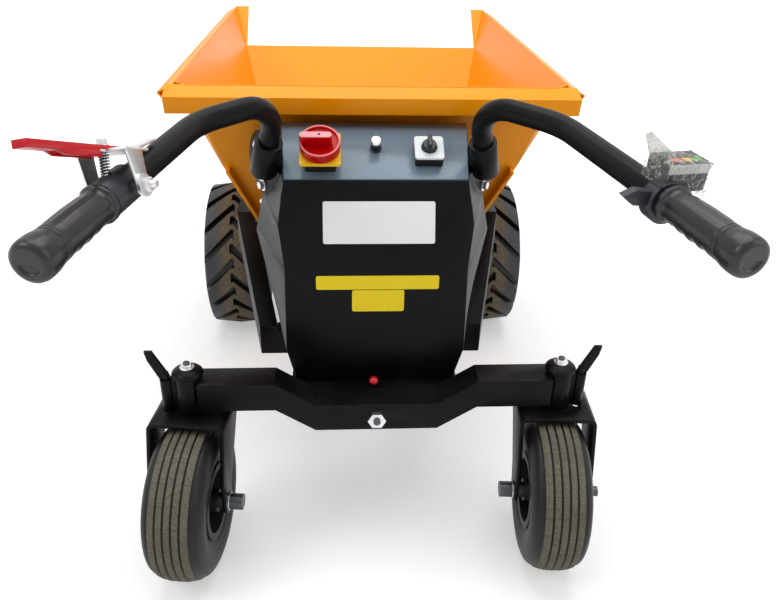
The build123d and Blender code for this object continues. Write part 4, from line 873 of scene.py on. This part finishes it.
SCREWS = (
    # forward, height, distance from the middle
    (-0.130, 0.660, 0.2323), (-0.150, 0.600, 0.2395), (-0.130, 0.560, 0.2312), (-0.150, 0.510, 0.2212))
screws = []
for side in (-1, 1):
    for y, z, x in SCREWS:
        screws.append(round_head((side * x, y, z), (side, 0, 0), 0.0065, 0.0045))
steel_fitting("console_screws", screws, sharp=40.0)

# ---------------- rosette bolts, and bright arcs as painted glints in the slots
ROSETTE_TURN = math.radians(32)
ROSETTE_AT = np.array([0.215, -0.204, 0.766])
BOLT_DROP = 0.046
BOLT_SHIFT = 0.010
SLOT_RADIUS = 0.049
SLOT_STARTS = (-62.0, 22.0)  # degrees round the rosette, from its top
SLOT_SWEEP = 40.0
SLOT_SECTION = np.array([(0.0032, -0.0004), (0.0032, 0.0006), (-0.0032, 0.0006), (-0.0032, -0.0004)])
bolts, slot_glints = [], []
for side in (-1, 1):
    out = np.array([side * math.cos(ROSETTE_TURN), -math.sin(ROSETTE_TURN), 0.0])
    face = ROSETTE_AT * (side, 1, 1) + out * 0.0005
    across = np.cross(out, Z)
    bolts.append(hex_head(face - Z * BOLT_DROP - across * side * BOLT_SHIFT, out, 0.0150, 0.0080, 0.0125))
    # painted glints: bright steel arcs along the rosette's slots stand for the light they catch
    for start in SLOT_STARTS:
        sweep = np.radians(np.linspace(start, start + SLOT_SWEEP, 12))
        route = face + SLOT_RADIUS * (np.sin(sweep)[:, None] * across + np.cos(sweep)[:, None] * Z)
        slot_glints.append(along_path(route, SLOT_SECTION, out))
steel_fitting("rosette_bolts", bolts, sharp=30.0)
steel_fitting("rosette_slot_glints", slot_glints, sharp=40.0)

# ---------------- grips
HANDLE_BEND = np.array([0.2899, -0.4525, 0.9147])
HANDLE_END = np.array([0.4025, -0.8880, 0.8801])
GRIP_LENGTH = 0.157
GRIP_POINTS = 72  # round the grip
GRIP_PROFILE = np.array([
    # along, radius
    (0.0000, 0.0195), (0.0001, 0.0250), (0.0012, 0.0264), (0.0068, 0.0266), (0.0086, 0.0256),
    (0.0106, 0.0229), (0.0160, 0.0222), (0.0300, 0.0233), (0.0650, 0.0245), (0.1040, 0.0242),
    (0.1085, 0.0243), (0.1100, 0.0234), (0.1115, 0.0243), (0.1150, 0.0246), (0.1165, 0.0237),
    (0.1180, 0.0247), (0.1240, 0.0257), (0.1310, 0.0268), (0.1400, 0.0272), (0.1480, 0.0268),
    (0.1530, 0.0252), (0.1558, 0.0222), (0.1568, 0.0190)])
END_RINGS = np.linspace(0.0180, 0.0010, 16)
WAVE_START = 0.022  # along the grip
WAVE_PITCH = 0.021
WAVE_DEPTH = 0.0022
RIDGES = (-0.42, 0.0, 0.42)  # radians from the top
RIDGE_HEIGHT = 0.0007
RIDGE_WIDTH = 0.045
RECESS_DEPTH = 0.0030


def grip(side):
    """Moulded grip. Radius = the turned profile, plus three long ridges on top, less finger waves
    underneath; the end face has a half-moon recess."""
    mirror = (1 if side == "right" else -1, 1, 1)
    along = unit((HANDLE_END - HANDLE_BEND) * mirror)
    start = HANDLE_END * mirror - along * GRIP_LENGTH
    across = unit(np.cross(along, Z))
    over = np.cross(across, along)
    s = np.unique(np.concatenate([GRIP_PROFILE[:, 0], np.linspace(0.012, 0.148, 80)]))
    a = np.arange(GRIP_POINTS) * 2 * np.pi / GRIP_POINTS
    radius = np.interp(s, *GRIP_PROFILE.T)[:, None] + 0 * a
    band = (np.clip((s - WAVE_START) / 0.012, 0, 1) * np.clip((0.106 - s) / 0.010, 0, 1))[:, None]
    under = np.clip(np.cos(a + np.pi / 2), 0, 1) ** 1.5
    waves = (0.5 - 0.5 * np.cos(2 * np.pi * (s - WAVE_START) / WAVE_PITCH))[:, None]
    radius = radius - WAVE_DEPTH * waves * band * under
    for ridge in RIDGES:
        bulge = np.exp(-(((a - np.pi / 2 - ridge) / RIDGE_WIDTH) ** 2))
        radius = radius + RIDGE_HEIGHT * bulge * np.clip(band * 2 - 0.6, 0, 1)
    ring = np.cos(a)[:, None] * across + np.sin(a)[:, None] * over
    shell = start + s[:, None, None] * along + radius[..., None] * ring
    rings = END_RINGS[:, None]
    moon = np.clip((-rings * np.sin(a) - 0.0005) / 0.0025, 0, 1) * np.clip((0.0150 - rings) / 0.0030, 0, 1)
    sink = RECESS_DEPTH * moon * moon * (3 - 2 * moon)
    end = start + (GRIP_PROFILE[-1, 0] - sink)[..., None] * along + rings[..., None] * ring
    points = np.concatenate([shell, end]).reshape(-1, 3)
    rows = len(s) + len(END_RINGS)
    faces = grid_faces(rows, GRIP_POINTS, close_columns=True)
    faces += [face[::-1] for face in end_faces(rows, GRIP_POINTS)]
    fitting(f"grip_rubber_{side}", (points, faces), finishes["grip_rubber"], "grip_rubber", sharp=50.0,
            stands_for=f"grip_{side}")


for grip_side in ("left", "right"):
    grip(grip_side)


# ---------------- brake lever fittings
def control_axes(sign, roll):
    """Directions on the left (-1) or right (1) handle, rolled outward by degrees: along, out across it, and
    up."""
    along = unit((HANDLE_END - HANDLE_BEND) * (sign, 1, 1))
    up = unit(Z - along * along[2])
    out = unit((-sign * along[1], sign * along[0], 0.0))
    roll = math.radians(roll)
    return along, out * math.cos(roll) - up * math.sin(roll), up * math.cos(roll) + out * math.sin(roll)


LEVER_HALF = 0.038  # from the lever's middle to its nuts
along, out, up = control_axes(-1, 13)
pivot = HANDLE_END * (-1, 1, 1) - along * (GRIP_LENGTH + 0.043)
nuts = []
for side in (-1, 1):
    base = pivot + out * side * LEVER_HALF
    nuts.append(hex_head(base, out * side, 0.0175, 0.0085, 0.0150, 0.0030))
    stud = [(0.0052, 0), (0.0052, 0.0065), (0.0044, 0.0078)]
    nuts.append(turned(base + out * side * 0.0115, out * side, stud, 20))
steel_fitting("lever_pivot_nuts", nuts)

SPRING_FOOT = (0.0120, 0.0250)  # along the handle and above it, from the pivot
SPRING_TOP = (0.0000, 0.0500)
SPRING_RADIUS = 0.0058
SPRING_TURNS = 7.5
SPRING_WIRE = 0.0010
foot, top = (pivot + along * place[0] + up * place[1] for place in (SPRING_FOOT, SPRING_TOP))
rise = unit(top - foot)
u, v = axes_on(rise)
t = np.linspace(0, 1, 190)
turn = 2 * np.pi * SPRING_TURNS * t
coil = SPRING_RADIUS * (np.cos(turn)[:, None] * u + np.sin(turn)[:, None] * v)
wire = along_path(foot + (top - foot) * t[:, None] + coil, circle(SPRING_WIRE, 8), rise)
piece("lever_spring", *wire, panel_black, "chassis", "black_plastic")
steel_fitting("lever_adjuster", [
    hex_head(top + rise * 0.0075, rise, 0.0120, 0.0080, 0.0085),
    turned(foot - rise * 0.004, rise, [(0.0032, 0), (0.0032, 0.046)], 12)])

# ---------------- caster caps, axle washers and beam fittings
CAP_DOME = (
    # radius, height
    (0.0292, 0), (0.0300, 0.0008), (0.0300, 0.0034), (0.0290, 0.0058), (0.0262, 0.0088), (0.0215, 0.0116),
    (0.0165, 0.0134), (0.0130, 0.0140))
CAP_HEIGHT = 0.0140
FORK_OUTSIDE = 0.0762  # from the wheel's middle to its fork's outer faces
STUD = ((0.0062, 0), (0.0062, 0.0032), (0.0052, 0.0042), (0.0044, 0.0036))
WASHER = ((0.0178, 0), (0.0182, 0.0004), (0.0182, 0.0020), (0.0178, 0.0024))
for side in ("left", "right"):
    low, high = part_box(f"kingpin_cap_{side}")
    foot = np.array([(low.x + high.x) / 2, (low.y + high.y) / 2, low.z])
    caster = f"caster_{side}"
    fitting(f"cap_dome_{side}", turned(foot, Z, CAP_DOME, 56), finishes["black_paint"], "black_paint",
            caster, 45.0, stands_for=f"kingpin_cap_{side}")
    steel_fitting(f"cap_nut_{side}", [hex_head(foot + Z * CAP_HEIGHT, Z, 0.0200, 0.0075, 0.0135)], caster)
    fitting(f"cap_stud_{side}", turned(foot + Z * 0.0225, Z, STUD, 20), finishes["nut_steel"],
            "bright_steel", caster, 35.0)

for side in ("left", "right"):
    axle = wheel_axes(CASTER_TURN[side])[0]
    hub = middle(f"caster_tyre_{side}")
    washers = [turned(hub + axle * way * FORK_OUTSIDE, axle * way, WASHER, 36) for way in (-1, 1)]
    steel_fitting(f"axle_washers_{side}", washers, f"caster_{side}")

low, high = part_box("beam_pivot_bolt")
bolt_end = np.array([(low.x + high.x) / 2, low.y + 0.001, (low.z + high.z) / 2])
fitting("pivot_bolt_end", turned(bolt_end, (0, -1, 0), [(0.0070, 0), (0.0070, 0.0050), (0.0060, 0.0062)], 24),
        finishes["nut_steel"], "bright_steel", sharp=35.0)
RED_PLUG = (-0.004, -0.3795, 0.372)
PLUG_PROFILE = ((0.0088, 0), (0.0088, 0.0030), (0.0075, 0.0050), (0.0040, 0.0060), (0, 0.0062))
fitting("red_plug", turned(RED_PLUG, (0, -0.5, 0.85), PLUG_PROFILE, 28), finishes["red_vinyl"], "red_vinyl",
        sharp=45.0)

# ---------------- throttle display and its clear wrap
along, out, up = control_axes(1, 2)
clamp_at = HANDLE_END - along * (GRIP_LENGTH + 0.028)
BOX_ACROSS, BOX_UP, BOX_ALONG = 0.066, 0.040, 0.044
box_mid = clamp_at + out * 0.025 + up * 0.027 + along * (0.014 - BOX_ALONG / 2)
top_face = box_mid + up * BOX_UP / 2
back_face = box_mid + along * BOX_ALONG / 2
FACE_T = 0.0008
fitting("display_band", slab(back_face + up * 0.0125, out, up, 0.062, 0.0130, FACE_T, 0.0012, 0.0002),
        label_white, "white_plastic")
fitting("display_window", slab(top_face, out, -along, 0.060, 0.038, FACE_T, 0.0030, 0.0002),
        panel_black, "black_plastic")
CHARGE_BARS = (
    # name, place across, width, colour
    ("red", -0.0135, 0.0170, "d8402c"),
    ("yellow", 0.0030, 0.0120, "e5c52c"),
    ("green", 0.0180, 0.0150, "5fa93a"),
)
for name, place, width, colour in CHARGE_BARS:
    bar_at = top_face + up * FACE_T + out * place + along * 0.010
    fitting(f"charge_bar_{name}", slab(bar_at, out, -along, width, 0.011, 0.0004, 0.0008, 0.0001),
            plastic(f"charge bar {name}", srgb(colour), 0.3, 200.0, 0.05), "yellow_plastic")


def wrap_film(name, alpha):
    """Thin clear film: mostly see-through, with pale creases and gloss."""
    s = Shader(name)
    crease = s.noise(48.0, 3.0, 0.6, twist=1.2)
    fine = s.noise(260.0, 4.0, 0.6)
    ridge = 1.0 - (crease - 0.5).absolute().step(0.004, 0.035)
    return s.finish(
        Base_Color=s.mix(ridge, srgb("c9cbc2"), srgb("f2f3ee")),
        Roughness=0.12 + fine * 0.2,
        Alpha=(alpha + ridge * 0.30).clamp(),
        Normal=s.bump(crease + fine * 0.15, 0.002, 0.8),
    )


film = wrap_film("clear wrap film", 0.08)
folded_film = wrap_film("folded wrap film", 0.45)
FILM_GAP = 0.0022  # from the box to the film
FILM_SQUARENESS = 0.28  # power that squares the outline: 1 is round, 0 square


def crumple(a, b, k):
    """Sum of a few slanted waves, from -1 to 1: how far the film stands off at a place."""
    folds = np.sin(41 * a + 17 * b + k) * np.sin(23 * b - 31 * a + 2 * k)
    return (folds + 0.6 * np.sin(73 * a * b + 5 * k + 19 * b)) / 1.6


def box_wrap():
    """Film round the display box: each point is the box's round-cornered outline at its angle, carried
    along the handle and open at both ends, standing off by the crumple waves; it flares below on the outer
    side."""
    a = np.arange(96) * 2 * np.pi / 96
    s = np.linspace(-0.5, 0.5, 34)[:, None]
    cosine, sine = np.cos(a), np.sin(a)
    across = (BOX_ACROSS / 2 + FILM_GAP) * np.sign(cosine) * np.abs(cosine) ** FILM_SQUARENESS
    rise = (BOX_UP / 2 + FILM_GAP) * np.sign(sine) * np.abs(sine) ** FILM_SQUARENESS
    off = 1 + 0.045 * crumple(cosine * 1.3 + s, sine * 1.1 + 2 * s, 0.7)
    hang = np.clip(-sine, 0, 1) * np.clip(cosine, 0, 1) * (0.6 + s) * 0.016
    run = (BOX_ALONG + 0.007) * s + 0 * a
    points = box_mid + (across * off)[..., None] * out
    points = points + (rise * off - hang)[..., None] * up + run[..., None] * along
    return points.reshape(-1, 3), grid_faces(len(s), len(a), close_columns=True)


def end_sheet():
    """Film over the box's end towards the grip: a grid whose height off the end face is the crumple
    waves."""
    a, b = np.meshgrid(np.linspace(-0.5, 0.5, 44), np.linspace(-0.5, 0.5, 30), indexing="ij")
    edge = np.clip(1 - (2 * np.abs(a)) ** 8, 0, 1) * np.clip(1 - (2 * np.abs(b)) ** 8, 0, 1)
    stand = 0.0030 + 0.0016 * crumple(a * 2.1, b * 2.4, 1.9) * edge
    points = back_face + (a * (BOX_ACROSS + 0.004))[..., None] * out
    points = points + (b * (BOX_UP + 0.004))[..., None] * up + stand[..., None] * along
    return points.reshape(-1, 3), grid_faces(44, 30)


def flap_sheet():
    """Loose corner of film at the inner front: a sheet that narrows to its tip and curls a little."""
    t, w = np.meshgrid(np.linspace(0, 1, 26), np.linspace(-0.5, 0.5, 14), indexing="ij")
    root = box_mid - out * (BOX_ACROSS / 2 - 0.006) + up * (BOX_UP / 2 + 0.001) - along * 0.004
    reach = unit(-out * 0.75 + up * 0.95 - along * 0.25)
    wide = unit(np.cross(reach, along) + along * 0.6)
    width = 0.030 * (1 - 0.72 * t)
    curl = 0.004 * np.sin(3 * t) * (1 - 4 * w * w) + 0.0012 * crumple(t * 2, w * 3, 0.3)
    points = root + (0.040 * t)[..., None] * reach + (width * w)[..., None] * wide + curl[..., None] * along
    return points.reshape(-1, 3), grid_faces(26, 14)


for name, sheet in (("wrap_round", box_wrap()), ("wrap_end", end_sheet()), ("wrap_flap", flap_sheet())):
    made = piece(name, *sheet, folded_film if name == "wrap_flap" else film, "chassis")
    solid = made.modifiers.new("film", "SOLIDIFY")
    solid.thickness = 0.0003
    solid.offset = 1.0

# ---------------- stage
FLOOR_HEIGHT = -0.0005  # just under the wheels


def seen_by_camera(tree):
    """1 on rays from the camera, mirror reflections and glass, and 0 on those that light things."""
    path = tree.nodes.new("ShaderNodeLightPath")
    seen = path.outputs["Is Camera Ray"]
    for ray in ("Is Transmission Ray", "Is Glossy Ray"):
        either = tree.nodes.new("ShaderNodeMath")
        either.operation = "MAXIMUM"
        tree.links.new(seen, either.inputs[0])
        tree.links.new(path.outputs[ray], either.inputs[1])
        seen = either.outputs[0]
    return seen


def floor_finish():
    """Pale floor that takes the shadow, lifted to white where the camera sees it lit."""
    s = Shader("studio floor")
    mottle = s.noise(3.0, 2.0)
    seen = Val(s, seen_by_camera(s.tree))
    x, y = s.split(s.coords())[:2]
    far = ((x * x + y * y) ** 0.5).step(1.0, 3.5)
    lift = s.mix(far, (0.40, 0.40, 0.40), (1.0, 1.0, 1.0))
    return s.finish(
        Base_Color=s.mix(mottle, (0.80, 0.80, 0.80), (0.83, 0.83, 0.83)),
        Roughness=0.9,
        Emission_Color=s.mix(seen, (0.0, 0.0, 0.0), lift),
        Emission_Strength=1.0,
    )


half = FAR_END / 2
corners = [(x * half, y * half, FLOOR_HEIGHT) for x, y in ((-1, -1), (1, -1), (1, 1), (-1, 1))]
sheet = bpy.data.meshes.new("studio_floor")
sheet.from_pydata(corners, [], [(0, 1, 2, 3)])
floor = placed("studio_floor", sheet)
dress(floor, floor_finish())


LAMPS = (
    # name, place, aim, size, power, colour: square area lamps
    ("ceiling lamp", (0.1, 0.5, 4.3), (0, 0.1, 0.4), 3.6, 118, (0.95, 0.98, 1.0)),
    ("left lamp", (-2.6, -1.6, 3.2), (0, 0, 0.5), 1.4, 34, (1.0, 0.98, 0.95)),
    ("right fill", (2.8, -1.8, 2.4), (0, 0, 0.5), 2.2, 26, (1.0, 0.98, 0.95)),
)
for name, place, aim, size, power, colour in LAMPS:
    light = bpy.data.lights.new(name, "AREA")
    light.size = size
    light.energy = power
    light.color = colour
    facing = (Vector(place) - Vector(aim)).to_track_quat("Z", "Y")
    placed(name, light).matrix_world = Matrix.Translation(place) @ facing.to_matrix().to_4x4()

WORLD_LIGHT = 0.38  # the surround's light on the object; the camera sees it at 1
world = bpy.data.worlds.new("studio")
bpy.context.scene.world = world
world.use_nodes = True
tree = world.node_tree
strength = tree.nodes.new("ShaderNodeMapRange")
tree.links.new(seen_by_camera(tree), strength.inputs[0])
strength.inputs["To Min"].default_value = WORLD_LIGHT
strength.inputs["To Max"].default_value = 1.0
tree.nodes["Background"].inputs["Color"].default_value = (1.0, 1.0, 1.0, 1.0)
tree.links.new(strength.outputs[0], tree.nodes["Background"].inputs["Strength"])

bpy.context.scene.view_settings.view_transform = "Standard"
